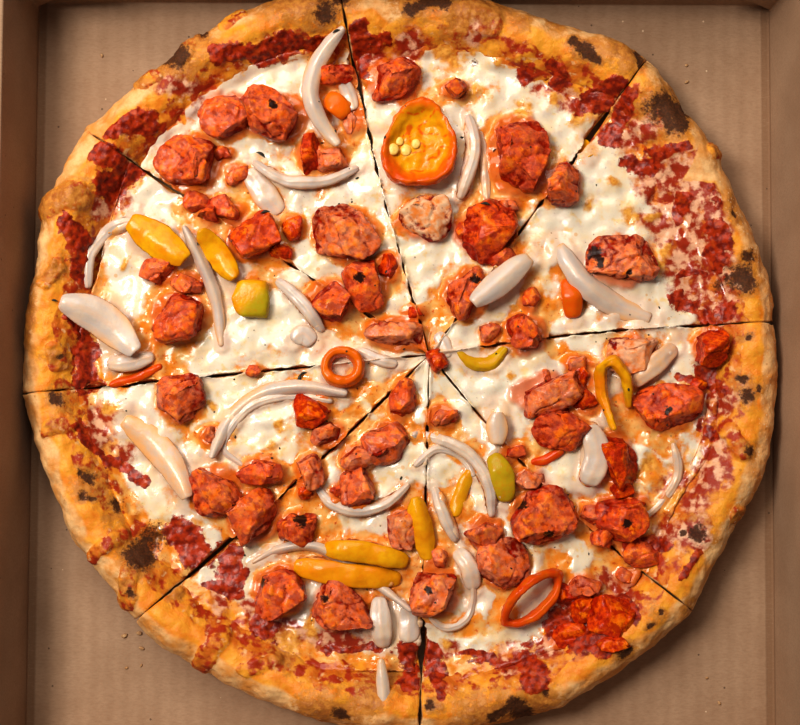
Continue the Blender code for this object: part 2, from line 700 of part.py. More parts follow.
def fuse_bits(slices, ground, dough):
    """Unites each cheese slice with the small bits and strips that lie on it."""
    held = {index: [] for index in range(len(CUTS))}
    for number, (x, y, width, depth, height, turn) in enumerate(BITS):
        index, x, y = inside_slice(x, y, BIT_CLEAR * max(width, depth))
        held[index].append(fused_bit(number, (x, y, width, depth, height, turn), ground, dough))
    for number, (width, thick, *path) in enumerate(FUSED_STRIPS):
        index = slice_at(*path[len(path) // 2])
        held[index].append(fused_strip(number, width, thick, path, ground, dough))
    for index, bits in held.items():
        if bits:
            joined = join(f"cheese_{index + 1}", [slices[index]] + bits, "cheese", "MANIFOLD")
            slices[index] = smooth(joined)
    return slices


def path_through(controls, closed=False):
    """Places about PATH_STEP apart on a Catmull-Rom curve through the controls."""
    nodes = [Vector(c) for c in controls]
    count = len(nodes)
    spans = count if closed else count - 1
    places = []
    for k in range(spans):
        p1, p2 = nodes[k], nodes[(k + 1) % count]
        p0 = nodes[(k - 1) % count] if closed or k else p1
        p3 = nodes[(k + 2) % count] if closed or k + 2 < count else p2
        steps = max(1, round((p2 - p1).length / PATH_STEP))
        for s in range(steps):
            t = s / steps
            cubic = (3 * (p1 - p2) + p3 - p0) * t + 2 * p0 - 5 * p1 + 4 * p2 - p3
            places.append(p1 + 0.5 * t * ((p2 - p0) + t * cubic))
    return places if closed else places + [nodes[-1]]


def strip_shape(places, levels, width, thick, closed=False):
    """Points and faces of a strip whose underside stands at the given levels."""
    count = len(places)
    points = []
    for k, place in enumerate(places):
        before, after = places[k - 1], places[(k + 1) % count]
        if not closed:
            before, after = places[max(0, k - 1)], places[min(count - 1, k + 1)]
        ahead = (after - before).normalized()
        side = Vector((-ahead.y, ahead.x))
        share = 0.5 if closed else k / (count - 1)
        full = width * (STRIP_END + (1.0 - STRIP_END) * math.sin(math.pi * share) ** STRIP_TAPER)
        for across, up in STRIP_SECTION:
            spot = place + side * across * full
            points.append((spot.x, spot.y, levels[k] + up * thick))
    ring = len(STRIP_SECTION)
    faces = []
    for k in range(count if closed else count - 1):
        a, b = k * ring, ((k + 1) % count) * ring
        faces += [(a + j, a + (j + 1) % ring, b + (j + 1) % ring, b + j) for j in range(ring)]
    if not closed:
        faces.append(tuple(range(ring)))
        faces.append(tuple((count - 1) * ring + j for j in reversed(range(ring))))
    return points, faces


def strip(name, width, thick, controls, slot, ground, closed=False):
    """A strip of onion or pepper laid along its path, over whatever lies below it."""
    places = path_through(controls, closed)
    count = len(places)
    levels = [ground.top(p.x, p.y, max(2, round(width / 2))) + DRAPE_GAP for p in places]
    eased = []
    for k, level in enumerate(levels):
        before, after = levels[k - 1], levels[(k + 1) % count]
        if not closed:
            before, after = levels[max(0, k - 1)], levels[min(count - 1, k + 1)]
        eased.append(max(level, (before + after) / 2))
    points, faces = strip_shape(places, eased, width, thick, closed)
    return lay(name, points, faces, slot, ground)


def pepper_ring(name, row, ground):
    width, thick, x, y, half_x, half_y, turn = row
    controls = []
    for k in range(RING_CONTROLS):
        angle = 2 * math.pi * k / RING_CONTROLS
        px, py = half_x * math.cos(angle), half_y * math.sin(angle)
        c, s = math.cos(math.radians(turn)), math.sin(math.radians(turn))
        controls.append((x + px * c - py * s, y + px * s + py * c))
    return strip(name, width, thick, controls, "pepper", ground, closed=True)


def pepper_cup(name, ground):
    """The end of a pepper, cut off and lying with its hollow up."""
    x, y, half_x, half_y, turn, wall, floor = PEPPER_CUP
    rings = ((CUP_FOOT, 0.0), (1.0, CUP_WIDEST_AT * wall), (CUP_MOUTH, wall), (CUP_LIP, wall - CUP_LIP_DROP),
             (CUP_HOLLOW, floor))
    c, s = math.cos(math.radians(turn)), math.sin(math.radians(turn))
    seat = ground.top(x, y, round(half_x))
    points = []
    for share, up in rings:
        for k in range(CUP_SEGMENTS):
            angle = 2 * math.pi * k / CUP_SEGMENTS
            lobes = CUP_LOBES * math.cos(3 * angle + CUP_LOBES_TURN)
            swell = 1.0 + lobes + CUP_OVAL * math.cos(2 * angle)
            px = half_x * share * swell * math.cos(angle)
            py = half_y * share * swell * math.sin(angle)
            points.append((x + px * c - py * s, y + px * s + py * c, seat + DRAPE_GAP + up))
    faces = []
    for level in range(len(rings) - 1):
        for k in range(CUP_SEGMENTS):
            a, b = level * CUP_SEGMENTS + k, level * CUP_SEGMENTS + (k + 1) % CUP_SEGMENTS
            faces.append((a, b, b + CUP_SEGMENTS, a + CUP_SEGMENTS))
    last = (len(rings) - 1) * CUP_SEGMENTS
    points.append((x, y, seat + DRAPE_GAP))
    points.append((x, y, seat + DRAPE_GAP + floor))
    for k in range(CUP_SEGMENTS):
        following = (k + 1) % CUP_SEGMENTS
        faces.append((following, k, len(points) - 2))
        faces.append((last + k, last + following, len(points) - 1))
    return lay(name, points, faces, "pepper", ground)


def toppings(ground):
    """Lays the toppings from the lowest to the highest."""
    for k, (width, thick, *path) in enumerate(PEPPER):
        strip(f"pepper_{k + 1:02d}", width, thick, path, "pepper", ground)
    for k, row in enumerate(PEPPER_RINGS):
        pepper_ring(f"pepper_ring_{k + 1}", row, ground)
    pepper_cup("pepper_cup", ground)
    for number, row in enumerate(CHICKEN):
        chicken_piece(number, row, ground)
    for k, (width, thick, *path) in enumerate(ONION):
        strip(f"onion_{k + 1:02d}", width, thick, path, "onion", ground)


def main():
    clear_scene()
    tray()
    lid()
    dough = [dough_slice(k) for k in range(len(CUTS))]
    cheese = [cheese_slice(k) for k in range(len(CUTS))]
    dough_ground = ground_of(dough)
    cheese = fuse_bits(cheese, ground_of(cheese), dough_ground)
    toppings(ground_of(dough + cheese))


main()
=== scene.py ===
"""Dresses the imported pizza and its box: board, crust, cheese, chicken, onion, pepper, herbs and crumbs.

Places and sizes in the tables are millimetres in the model's own frame: +X is right and +Y is up in the
photograph, +Z is up, and the tray's underside is at zero.
"""

import itertools
import json
import math
import random

import bmesh
import bpy
import numpy as np
from bpy.props import FloatProperty, FloatVectorProperty, IntProperty, PointerProperty
from mathutils import Matrix, Vector
from mathutils.bvhtree import BVHTree

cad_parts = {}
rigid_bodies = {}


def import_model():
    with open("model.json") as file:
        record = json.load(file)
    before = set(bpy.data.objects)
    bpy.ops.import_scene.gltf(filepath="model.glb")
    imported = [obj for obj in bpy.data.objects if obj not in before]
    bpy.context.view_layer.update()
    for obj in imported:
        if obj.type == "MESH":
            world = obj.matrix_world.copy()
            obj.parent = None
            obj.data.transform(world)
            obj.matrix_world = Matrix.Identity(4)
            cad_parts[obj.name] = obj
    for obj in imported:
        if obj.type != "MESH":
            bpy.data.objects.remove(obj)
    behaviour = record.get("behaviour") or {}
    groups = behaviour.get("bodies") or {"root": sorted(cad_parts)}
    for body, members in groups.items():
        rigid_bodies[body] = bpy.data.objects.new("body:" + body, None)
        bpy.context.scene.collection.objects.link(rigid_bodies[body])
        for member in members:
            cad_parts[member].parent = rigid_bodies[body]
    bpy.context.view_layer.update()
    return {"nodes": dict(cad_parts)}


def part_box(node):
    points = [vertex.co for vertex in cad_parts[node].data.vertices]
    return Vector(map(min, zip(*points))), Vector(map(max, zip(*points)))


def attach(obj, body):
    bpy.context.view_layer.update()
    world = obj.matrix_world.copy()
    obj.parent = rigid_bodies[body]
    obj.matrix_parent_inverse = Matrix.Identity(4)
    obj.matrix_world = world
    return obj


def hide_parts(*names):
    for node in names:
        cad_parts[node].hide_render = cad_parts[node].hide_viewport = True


bl_info = {
    "name": "Pizza in its box",
    "version": (1, 0, 0),
    "blender": (4, 5, 0),
    "location": "3D View > Sidebar > Pizza",
    "description": "Builds the visible pizza and box around the packed model",
    "category": "Object",
}

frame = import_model()

MM = 0.001
BODY = "tray"
SLICES = tuple(range(1, 9))
MERGE = 0.003
FLAT_ANGLE = math.radians(1)
FOLD_ANGLE = math.radians(40)
JOIN_ANGLE = math.radians(50)
SHARP_ANGLE = math.radians(55)

# Heights and distances of the model, and the middle of the pizza
FLOOR = 3.0
DOUGH_UNDER = 3.3
CHEESE_LEVEL = 17.7
MIDDLE = (-2.0, 5.0)
CROSSING = (11.0, 5.0)
TIP_RADIUS = 5.0
TIP_PULL = 4.4
WALL_INNER = 152.5
WALL_LEAN = math.tan(math.radians(3.0))
WALL_CLEARANCE = 0.25
CREASE_FROM = 148.8
RIM_BINS = 120
RIM_DETAIL = 30.0
ABOVE_ALL = 60.0
FAR_OFF = 99.0
# Each cut: degrees at the rim, widest opening, sideways bow, and the share that the melted cheese closes
CUTS = (
    (5.0, 1.2, 3.0, 1.0), (50.1, 3.4, 0.0, 1.0), (99.3, 2.8, 2.6, 1.0), (144.7, 1.4, 0.0, 1.0),
    (186.4, 1.8, 0.0, 1.0), (225.8, 2.4, 2.0, 1.0), (273.6, 4.0, 0.0, 0.6), (319.2, 1.0, -5.4, 1.0),
)
CUT_NARROW = 0.7
CUT_MARGIN = 0.90
CUT_OVERLAP = 0.2
CUT_SWELL_FROM = 0.42
CRUST_CLOSING = 0.45

# Marks on the pizza: x, y, radius, or x, y, x, y, half width
SAUCE = (
    (-120, 95, -104, 98, 5), (-126, 87, -116, 84, 4.5), (-118, 72, -112, 79, 5), (-76, 125, -68, 126, 4.5),
    (-62, 126, -46, 130, 4), (-44, 132, -34, 130, 3), (-134, 56, -127, 50, 4), (-129, 46, -131, 34, 2.5),
    (-131, 18, -127, 10, 3.5), (-127, 8, -128, -5, 4.5), (-132, -8, -120, -9, 2.5), (-131, -24, -120, -37, 2.2),
    (-119, -38, -104, -46, 2.4), (-88, -66, -83, -76, 6), (-70, -77, -68, -84, 6), (-77, -88, -64, -91, 3),
    (-57, -101, -53, -106, 4), (-30, -114, -8, -114, 1.8), (1, -112, 4, -125, 3.5), (12, -112, 16, -128, 3),
    (27, -116, 38, -118, 2.4), (50, -117, 54, -125, 5.5), (64, -104, 80, -108, 7), (92, -96, 88, -92, 3),
    (110, -80, 116, -72, 2.5), (122, 2, 126, -9, 3.5), (121, -24, 125, -27, 2.5), (110, 27, 118, 25, 3.5),
    (124, 22, 132, 24, 3.5), (111, 36, 120, 38, 1.6), (127, 40, 124, 48, 2.4), (124, 57, 128, 50, 4),
    (112, 61, 113, 70, 2.4), (122, 78, 126, 67, 2.8), (91, 84, 100, 82, 3.6), (102, 87, 112, 88, 3.4),
    (84, 95, 92, 109, 4.6), (73, 107, 86, 113, 4.6), (60, 122, 65, 116, 3), (50, 119, 4), (-18, 136, -17, 121, 3),
    (-13, 132, -6, 134, 2), (96, -73, 104, -71, 4), (112, -2, 118, -4, 1.6), (66, -93, 74, -97, 4),
)
MOTTLE = (
    (-94, 113, -86, 111, 5), (-117, 66, -121, 62, 5), (3, 131, 6), (-12, 127, 5), (58, 113, 70, 108, 4),
    (103, 76, 117, 80, 8), (108, 64, 106, 56, 8), (119, 50, 112, 44, 8), (115, 32, 126, 30, 6),
    (123, -18, 127, -12, 5), (124, -28, 4), (20, -113, 5), (105, -65, 118, -66, 6), (43, -116, 5),
    (-32, -108, -18, -110, 5), (-50, -104, -42, -107, 5), (-120, -20, -122, -28, 5), (-112, -36, 5),
    (98, 60, 4), (114, 72, 120, 42, 8), (122, 62, 127, 22, 7), (118, 76, 124, 66, 6), (126, -33, 4),
    (110, -48, 118, -52, 6), (124, -42, 6), (-72, -95, 5), (30, 134, 5),
    (-110, 94, 3), (-104, 120, 5), (-60, -98, 4), (58, -112, 5), (82, -86, 90, -90, 4), (90, 92, 97, 96, 5),
)
BROWNED = (
    (85, 77, 2.4), (92, 62, 3.6), (76, 68, 2.2), (60, 110, 3.4), (72, 102, 4), (29, 112, 3), (48, 106, 3.6),
    (22, 125, 3.6), (27, 130, 3.4), (16, 128, 3.2), (-84, 112, 2.4), (-98, 105, 3.6), (-112, 42, 1.8),
    (-117, -16, 2.6), (-76, -16, 1.8), (-67, -28, 2.2), (-49, -23, 2.2), (-52, -33, 2), (43, -4, 2.2), (46, 24, 1.8),
    (40, 123, 2.4), (40, 140, 46, 134, 4), (106, 48, 3), (104, 42, 2.6), (118, -48, 3), (112, -54, 3.4),
    (98, -40, 3), (-47, -113, 6), (18, -110, 3), (-36, -104, 3.4), (100, 62, 2.4), (115, -5, 2.6),
)
STAIN = (
    (-96, 8, -92, -5, 4), (-116, -7, -98, 0, 3), (-20, -20, -12, -30, 4), (-24, 15, -12, 20, 4),
    (13, 22, 20, 30, 4), (12, 14, 4), (14, -15, 22, -25, 3), (60, 22, 5), (60, 8, 70, 4, 3), (70, -1, 4),
    (91, -15, 98, -22, 6), (104, -30, 4), (98, -43, 5), (108, -48, 5), (5, -26, 30, -36, 3), (-76, -30, 4),
    (-30, 108, 5), (-26, 92, 5), (-70, 66, 6), (-60, 70, -50, 62, 5), (0, 112, 12, 108, 3), (62, 84, 4),
    (36, 96, 36, 72, 3), (-104, 14, -100, 6, 4), (-62, 30, -52, 42, 4), (-44, -8, -36, -10, 2),
    (-16, -8, -8, -16, 4), (6, -56, 14, -76, 5), (20, -50, 26, -60, 4), (-34, -70, 4, -84, 9),
    (12, -98, 30, -104, 3), (40, -100, 44, -86, 4), (60, -80, 66, -74, 3), (78, -90, 86, -78, 4),
    (88, -76, 102, -84, 4), (76, -66, 88, -76, 4), (96, -60, 104, -70, 4), (104, 8, 92, -8, 3),
    (-66, -66, -56, -46, 5), (-44, -48, -36, -60, 5), (44, -46, 52, -36, 4), (28, 60, 34, 74, 4),
    (-88, 60, -70, 58, 4), (-98, 26, -88, 12, 5), (66, 40, 70, 26, 3), (-126, 2, -124, -6, 2),
)
WHITE = (
    (-100, 93, -88, 107, 8), (-88, 107, -60, 117, 8), (-60, 117, -43, 118, 8), (-106, 87, 6), (-97, 66, 6),
    (-8, 108, 7), (-12, 88, -16, 76, 4), (12, 125, 5), (30, 124, 42, 122, 8), (45, 112, 54, 110, 8), (18, 52, 8, 44, 9),
    (62, 104, 64, 92, 7), (82, 78, 92, 62, 11), (72, 62, 76, 54, 10), (74, 44, 96, 26, 11), (100, 72, 4),
    (110, 20, 100, 28, 6), (100, 36, 6), (58, 4, 46, -12, 10), (30, -8, 26, -16, 8), (110, 12, 114, -2, 5),
    (-56, -24, 10), (-114, -16, -104, -26, 9), (-84, -2, -66, -8, 7), (-64, 12, -46, 18, 9), (-112, 42, -108, 28, 9),
    (-100, 24, 6), (8, -38, 16, -44, 8), (22, -52, 26, -64, 5), (-22, -64, -10, -66, 6), (66, -72, 74, -76, 7),
    (60, -46, 6), (94, -34, 98, -46, 6), (119, -35, 5), (120, -50, 3), (50, -104, 46, -110, 5), (-35, -92, 5),
    (-28, -98, 6), (-16, -107, 6), (26, -80, 5), (20, -96, 5), (35, -95, 5), (30, -110, 6), (80, -87, 98, -88, 2.2),
    (62, -95, 4), (106, -78, 3), (-76, -78, -78, -86, 3.4), (-62, -72, 6), (-63, -88, 4), (-22, 126, 4),
    (5, 132, 2.4), (62, 118, 3), (104, 60, 3), (110, 46, 2.4), (-112, 66, 4), (34, 134, 3),
)
BROWN = (
    (-96, 122, -88, 120, 7), (-105, 113, 3.6), (-142, 64, -130, 67, 6), (-84, 134, -80, 130, 5),
    (-50, 146, -32, 146, 9), (0, 146, 16, 146, 6), (22, 140, 36, 142, 8), (86, 128, 92, 124, 6),
    (75, 126, 5), (104, 102, 110, 106, 9), (125, 86, 3.6), (133, -58, 4.4), (-103, -74, -98, -66, 8),
    (-137, -14, 5), (-138, 3, 4), (-138, -26, 3.4), (-90, -90, 3), (-36, -134, -20, -136, 6),
    (30, -136, 54, -136, 8), (-142, 34, -136, 40, 4), (134, 36, 7), (135, -9, 5), (-123, -48, 6),
    (-112, -56, 6), (-148, 30, -150, 10, 3), (130, 66, 132, 58, 3), (100, -97, 3), (112, -92, 2.4),
    (-5, -122, -14, -132, 5), (54, -132, 60, -130, 4), (116, -60, 122, -66, 4), (137, -33, 3),
    (14, -134, 3), (62, 139, 4), (46, 138, 4), (-108, -88, 3), (-47, -114, 5), (130, 26, 3),
)
CHAR = (
    (-96, 125, -89, 124, 3.2), (-84, 136, -80, 134, 1.8), (-35, 150, 3), (-31, 142, 3.4), (-25, 148, 3),
    (2, 142, 9, 146, 1.8), (9, 146, 17, 145, 2.4), (68, 131, 72, 128, 1.6), (73, 127, 76, 123, 1.6),
    (104, 104, 108, 104, 5), (110, 98, 112, 104, 3.4), (106, 96, 104, 100, 2), (94, 125, 95, 122, 1.8),
    (137, 44, 2), (134, 37, 136, 34, 3.4), (127, 33, 1.8), (137, 12, 1.4), (135, -4, 1.4), (136, -11, 2.4),
    (141, -8, 1.2), (137, -32, 1.6), (-124, -45, 2), (-127, -43, 1.2), (-125, -52, 1.4), (-122, -53, 1),
    (-114, -56, 2.2), (-99, -68, -104, -75, 4.2), (-101, -77, 3), (-137, -14, 2), (-136, 3, 1),
    (-25, -136, -22, -138, 2), (36, -138, 44, -133, 1.6), (44, -133, 50, -138, 3), (87, -111, 2),
    (117, -65, 2.6), (112, -66, 1.2), (57, -128, 1.2), (101, -96, 1), (97, -101, 1), (131, 61, 1.2),
    (29, 124, 1.2), (-106, -90, 1.6), (12, -133, 1.6), (-78, 137, 1),
)
DRIPS = (
    (-122, -76, -111, -68, 2.4), (-108, -93, -106, -80, 3.4), (-80, -121, -71, -107, 3.6), (-144, 64, -130, 67, 5),
    (-142, 32, -136, 40, 2.6), (-140, -26, -133, -24, 2.8), (-105, 113, -100, 116, 3), (-61, -119, -50, -116, 2.4),
    (125, 87, 3.4), (133, -58, 3.4), (134, -32, 130, -26, 3.2), (-89, -90, 2), (28, 142, 34, 138, 5),
    (-88, 124, -84, 132, 3), (-137, 0, -138, 6, 3), (-72, 137, -66, 141, 2.4), (92, 98, 98, 94, 3),
)
BLISTERS = (
    (-128, 96, 4, 0.8), (86, 128, 9, 1.4), (-40, 146, 9, 1.6), (127, 86, 4, 1.2), (135, -33, 4, 1.2),
    (107, 103, 7, -0.8), (-103, -72, 8, -0.9), (136, 38, 5, -0.6), (-112, 108, 7, 0.7), (100, 120, 5, 0.8),
    (-146, 66, 5, 1.0), (-33, -131, 8, 1.0), (40, -128, 6, 0.9), (-134, -38, 6, 0.8), (-94, -104, 8, 0.9),
    (142, 10, 6, 0.8), (140, -45, 7, 0.7), (-148, 14, 6, 0.7), (64, -128, 6, 0.7), (-62, 134, 7, 0.9),
    (20, 141, 8, 1.1), (50, 137, 5, 0.8), (-142, -58, 6, -0.5), (96, -104, 6, 0.7),
)

# Small pieces sunk in the cheese: x, y, width, depth, height, turn, paleness, redness
BITS = (
    (-14, 33, 15, 18, 10, 20, 0.1, 0.5), (93, 5, 18, 15, 7, 0, 0.7, 0.0), (106, -16, 24, 17, 11, 0, 0.1, 0.5),
    (65, -25, 19, 15, 9, 0, 0.1, 0.7), (-6, -30, 15, 15, 10, 25, 0.2, 0.3), (86, -37, 13, 22, 9, 15, 0, 1.0),
    (83, -99, 16, 15, 9, 0, 0, 1.0), (-24, -96, 22, 16, 10, -25, 0.2, 0.3), (41, -79, 18, 19, 10, 10, 0.3, 0.1),
    (59, -11, 29, 13, 10, 12, 0.3, 0.3), (-27, 118, 13, 7, 6, 0, 0.1, 0.5), (-38, 86, 9, 14, 7, 0, 0, 0.9),
    (-29, 84, 12, 11, 6, 20, 0.3, 0.4), (-73, 63, 15, 9, 6, 0, 0.1, 0.6), (-99, 38, 12, 10, 8, 0, 0.2, 0.4),
    (-87, 33, 12, 8, 7, 0, 0.2, 0.4), (21, 113, 9, 7, 5, 30, 0.1, 0.5), (35, 14, 8, 7, 5, 0, 0.2, 0.4),
    (45, -34, 8, 6, 5, 0, 0.1, 0.5), (96, -73, 14, 11, 7, 15, 0.1, 0.7), (33, -66, 13, 13, 8, 0, 0.2, 0.5),
    (51, -45, 12, 7, 6, 0, 0.4, 0.2), (0, -65, 10, 14, 8, 0, 0.4, 0.2), (-18, -49, 13, 14, 9, 0, 0.2, 0.3),
    (-17, -37, 12, 9, 7, 0, 0.3, 0.2), (0, -13, 9, 15, 8, 0, 0.1, 0.6), (-36, -17, 14, 12, 9, 0, 0, 0.8),
    (-30, -27, 12, 9, 7, 0, 0.3, 0.2), (-42, -65, 13, 12, 9, 0, 0.1, 0.4), (-37, -42, 10, 12, 8, 0, 0.3, 0.2),
    (-57, -42, 16, 9, 8, 0, 0.1, 0.5), (16, -20, 11, 8, 5, 20, 0.2, 0.5), (72, -88, 12, 9, 6, 0, 0.2, 0.6),
)
# Bits that only the looks show, with the same columns
MORE_BITS = (
    (-78, 62, 9, 8, 5, 10, 0.1, 0.7), (-83, 66, 10, 7, 5, -20, 0.1, 0.7), (-66, 78, 10, 6, 4, 30, 0.2, 0.5),
    (-6, 40, 7, 11, 4, 20, 0, 0.8), (14, 2, 8, 9, 4, 20, 0, 0.9), (-60, -2, 5, 5, 3, 0, 0.1, 0.5),
    (-77, -28, 6, 6, 4, 0, 0.3, 0.3), (70, 2, 9, 6, 4, 0, 0.3, 0.3), (58, -4, 6, 5, 3, 0, 0.2, 0.5),
    (72, -5, 9, 9, 5, 0, 0, 0.8), (74, -14, 8, 9, 5, 30, 0, 0.9), (63, -18, 9, 8, 6, 0, 0.1, 0.9),
    (88, -48, 9, 9, 5, 0, 0, 1.0), (92, -54, 12, 6, 4, -10, 0, 0.9), (76, -60, 9, 8, 5, 0, 0.2, 0.5),
    (80, -68, 8, 9, 5, 0, 0.1, 0.6), (15, -77, 7, 7, 4, 0, 0.2, 0.5), (66, -90, 8, 7, 4, 0, 0, 0.9),
    (74, -98, 10, 12, 5, 20, 0, 1.0), (66, -108, 14, 10, 4, 0, 0, 1.0), (84, -109, 12, 7, 4, 10, 0, 0.9),
    (90, -84, 8, 5, 4, -30, 0.2, 0.4), (42, 66, 10, 6, 4, 0, 0.3, 0.4), (24, 55, 7, 9, 5, 0, 0.1, 0.7),
    (-44, 56, 8, 9, 5, 20, 0, 0.8), (-50, 46, 9, 6, 5, 0, 0, 0.9), (-74, 86, 8, 6, 4, 0, 0.1, 0.6),
    (-38, -50, 6, 6, 4, 0, 0, 0.8), (118, -7, 8, 5, 4, 10, 0, 0.9), (-26, -50, 5, 6, 3, 0, 0.1, 0.6),
    (5, 22, 8, 5, 3, -20, 0, 0.8), (-96, 12, 8, 6, 4, 30, 0, 0.8), (-21, 100, 6, 10, 3, 10, 0.4, 0.2),
    (40, 45, 10, 6, 4, 20, 0.1, 0.7), (52, 27, 6, 8, 4, 0, 0.1, 0.6),
)

# Strips sunk in the cheese or laid on it: kind, width, thickness, yellow to red, green, then the path
STRIPS = (
    ("onion", 11, 3.6, 0, 0, (75, -23), (78, -35), (74, -47)),
    ("onion", 9, 3.0, 0.5, 0, (110, 9), (101, 1), (92, -6)),
    ("onion", 9, 3.4, 0.1, 0, (-9, -92), (-8, -102), (-7, -112)),
    ("onion", 9, 3.0, 0.0, 0, (2, -96), (3, -103), (3, -110)),
    ("pepper", 9, 4.2, 0.75, 0, (66, 36), (68, 29), (69, 20)),
    ("pepper", 9, 4.2, 0.1, 0.8, (36, -35), (40, -43), (42, -54)),
    ("onion", 5.5, 3.2, 0, 0, (-108, 59), (-119, 55), (-126, 45), (-127, 31)),
    ("onion", 5, 3.4, 0.2, 0, (-61, 83), (-48, 75), (-32, 75), (-18, 81)),
    ("onion", 5.5, 3.2, 0.1, 0, (-51, 35), (-41, 26), (-32, 14)),
    ("onion", 5, 3.2, 0.3, 0, (26, 103), (29, 88), (23, 68)),
    ("onion", 4.5, 3.2, 0.5, 0, (31, 96), (33, 82), (34, 68)),
    ("onion", 5, 3.2, 0.1, 0, (4, -27), (18, -30), (29, -37), (35, -48), (36, -60)),
    ("onion", 4.5, 3.2, 0.2, 0, (-35, -47), (-28, -55), (-17, -58), (-6, -55), (3, -47)),
    ("onion", 7, 3.2, 0.3, 0, (-119, 1), (-110, 1), (-100, 4)),
    ("onion", 5, 3.4, 0.2, 0, (13, -48), (17, -60), (22, -70)),
    ("onion", 8, 3.2, 0.3, 0, (22, -73), (27, -80), (29, -89)),
    ("pepper", 9, 4.4, 0.25, 0, (-31, -73), (-15, -74), (3, -78)),
    ("pepper", 10, 3.8, 0.35, 0, (-43, -80), (-22, -83), (0, -85)),
    ("onion", 3.5, 2.6, 0.3, 0, (9, -97), (17, -104), (26, -101), (29, -92), (28, -86)),
    ("onion", 9, 3.4, 0.2, 0, (-44, 10), (-40, 13), (-36, 9)),
    ("onion", 5, 3.0, 0.1, 0, (-18, 7), (-10, 3), (-2, 1)),
    ("onion", 4, 2.6, 0.4, 0, (109, -30), (111, -42), (106, -52), (98, -60)),
    ("onion", 6, 3.4, 0.2, 0, (-25, 117), (-22, 110), (-20, 104)),
    ("onion", 10, 3.0, 0.3, 0, (-63, 80), (-57, 71), (-50, 62)),
    ("pepper", 4, 3.0, 0.85, 0, (-118, -8), (-108, -5), (-97, 0)),
    ("pepper", 4, 3.0, 0.9, 0, (52, -38), (58, -37), (65, -33)),
    ("pepper", 6, 3.2, 0.3, 0.2, (28, -41), (24, -50), (21, -60)),
    ("pepper", 8, 3.4, 0.1, 0, (72, 93), (74, 90), (76, 86)),
    ("pepper", 9, 4.0, 0.6, 0, (-32, 109), (-27, 106), (-23, 101)),
    ("onion", 4, 2.6, 0.1, 0, (-64, -40), (-72, -32), (-62, -17), (-46, -12), (-28, -14)),
    ("onion", 4, 2.8, 0.1, 0, (5, -40), (14, -33), (24, -36), (29, -44)),
    ("onion", 6, 2.6, 0.2, 0, (14, 14), (17, 9), (19, 4)),
)
# Green and yellow end of a pepper: x, y, width, depth, height, turn
PEPPER_NUB = (-61, 27, 14, 14, 7, 0)

# Width and path of the onion nodes, for the lines that run along them
ONION_PATHS = {
    "onion_01": (8, (-24, 136), (-33, 126), (-38, 112), (-34, 99), (-26, 89)),
    "onion_02": (16, (-136, 25), (-122, 20), (-112, 11), (-106, 5)),
    "onion_03": (6, (-88, 56), (-81, 42), (-75, 26), (-73, 8)),
    "onion_04": (7, (-76, -37), (-70, -22), (-57, -11), (-40, -8), (-22, -11)),
    "onion_05": (13, (-112, -22), (-100, -31), (-90, -43), (-85, -53)),
    "onion_06": (12, (28, 25), (39, 34), (51, 44)),
    "onion_07": (11, (63, 50), (70, 37), (82, 27), (100, 20)),
    "onion_08": (12, (38, -18), (38, -31)),
    "onion_09": (7, (-8, -115), (-7, -126), (-6, -137)),
    "onion_10": (5, (-60, -79), (-49, -73), (-34, -72), (-20, -80), (-4, -91), (4, -97)),
}
# Width and path of the pepper nodes
PEPPER_PATHS = (
    (15, (-110, 58), (-98, 50), (-87, 42)),
    (11, (-81, 54), (-74, 44), (-67, 35)),
    (8, (22, 7), (28, 1), (37, 1), (42, 8)),
    (10, (5, -52), (8, -64), (11, -77)),
    (6, (84, -25), (80, -10), (79, 0), (84, 3), (89, -3), (91, -16)),
)
# Flat cuts on a chunk of chicken
FACETS = 12
# Share of its height that an onion or pepper strip keeps
FLATTER = 0.48
# Share of that height which the strip loses towards its edges
THINNING = 0.62

# Nodes with their yellow to red and green shares
PEPPER_TINTS = {
    "pepper_01": (0.22, 0.0), "pepper_02": (0.15, 0.0), "pepper_03": (0.0, 0.55), "pepper_04": (0.28, 0.0),
    "pepper_05": (0.30, 0.0), "pepper_ring_1": (0.62, 0.0), "pepper_ring_2": (0.82, 0.0), "pepper_cup": (0.85, 0.0),
}
ONION_TINGE = {"onion_05": 0.5, "onion_10": 0.25, "onion_04": 0.1, "onion_09": 0.15, "onion_01": 0.1}
# Paleness and redness of the chicken nodes that differ from the rest
CHICKEN_LOOKS = {
    "chicken_13": (0.95, 0.0), "chicken_17": (0.0, 0.9), "chicken_06": (0.1, 0.7), "chicken_08": (0.4, 0.2),
    "chicken_14": (0.3, 0.1), "chicken_21": (0.2, 0.2), "chicken_09": (0.1, 0.7), "chicken_18": (0.05, 0.8),
    "chicken_04": (0.3, 0.1), "chicken_11": (0.2, 0.3), "chicken_12": (0.05, 0.6), "chicken_20": (0.3, 0.2),
    "chicken_05": (0.05, 0.7), "chicken_02": (0.15, 0.4), "chicken_16": (0.1, 0.6),
}
CHICKEN_CHAR = ((77, 46, 3), (79, 42, 2), (88, 33, 1.8), (90, 38, 1.2), (-17, 35, 2), (29, 35, 2), (-40, -62, 2.4),
                (48, -55, 1.6), (58, -66, 1.6), (11, -88, 1.8), (89, -62, 2), (131, 6, 1.8), (-30, -92, 1.6),
                (-55, -86, 1.6), (106, -17, 2), (-9, 61, 1.4), (-14, 66, 1.2), (-52, 104, 1.6))

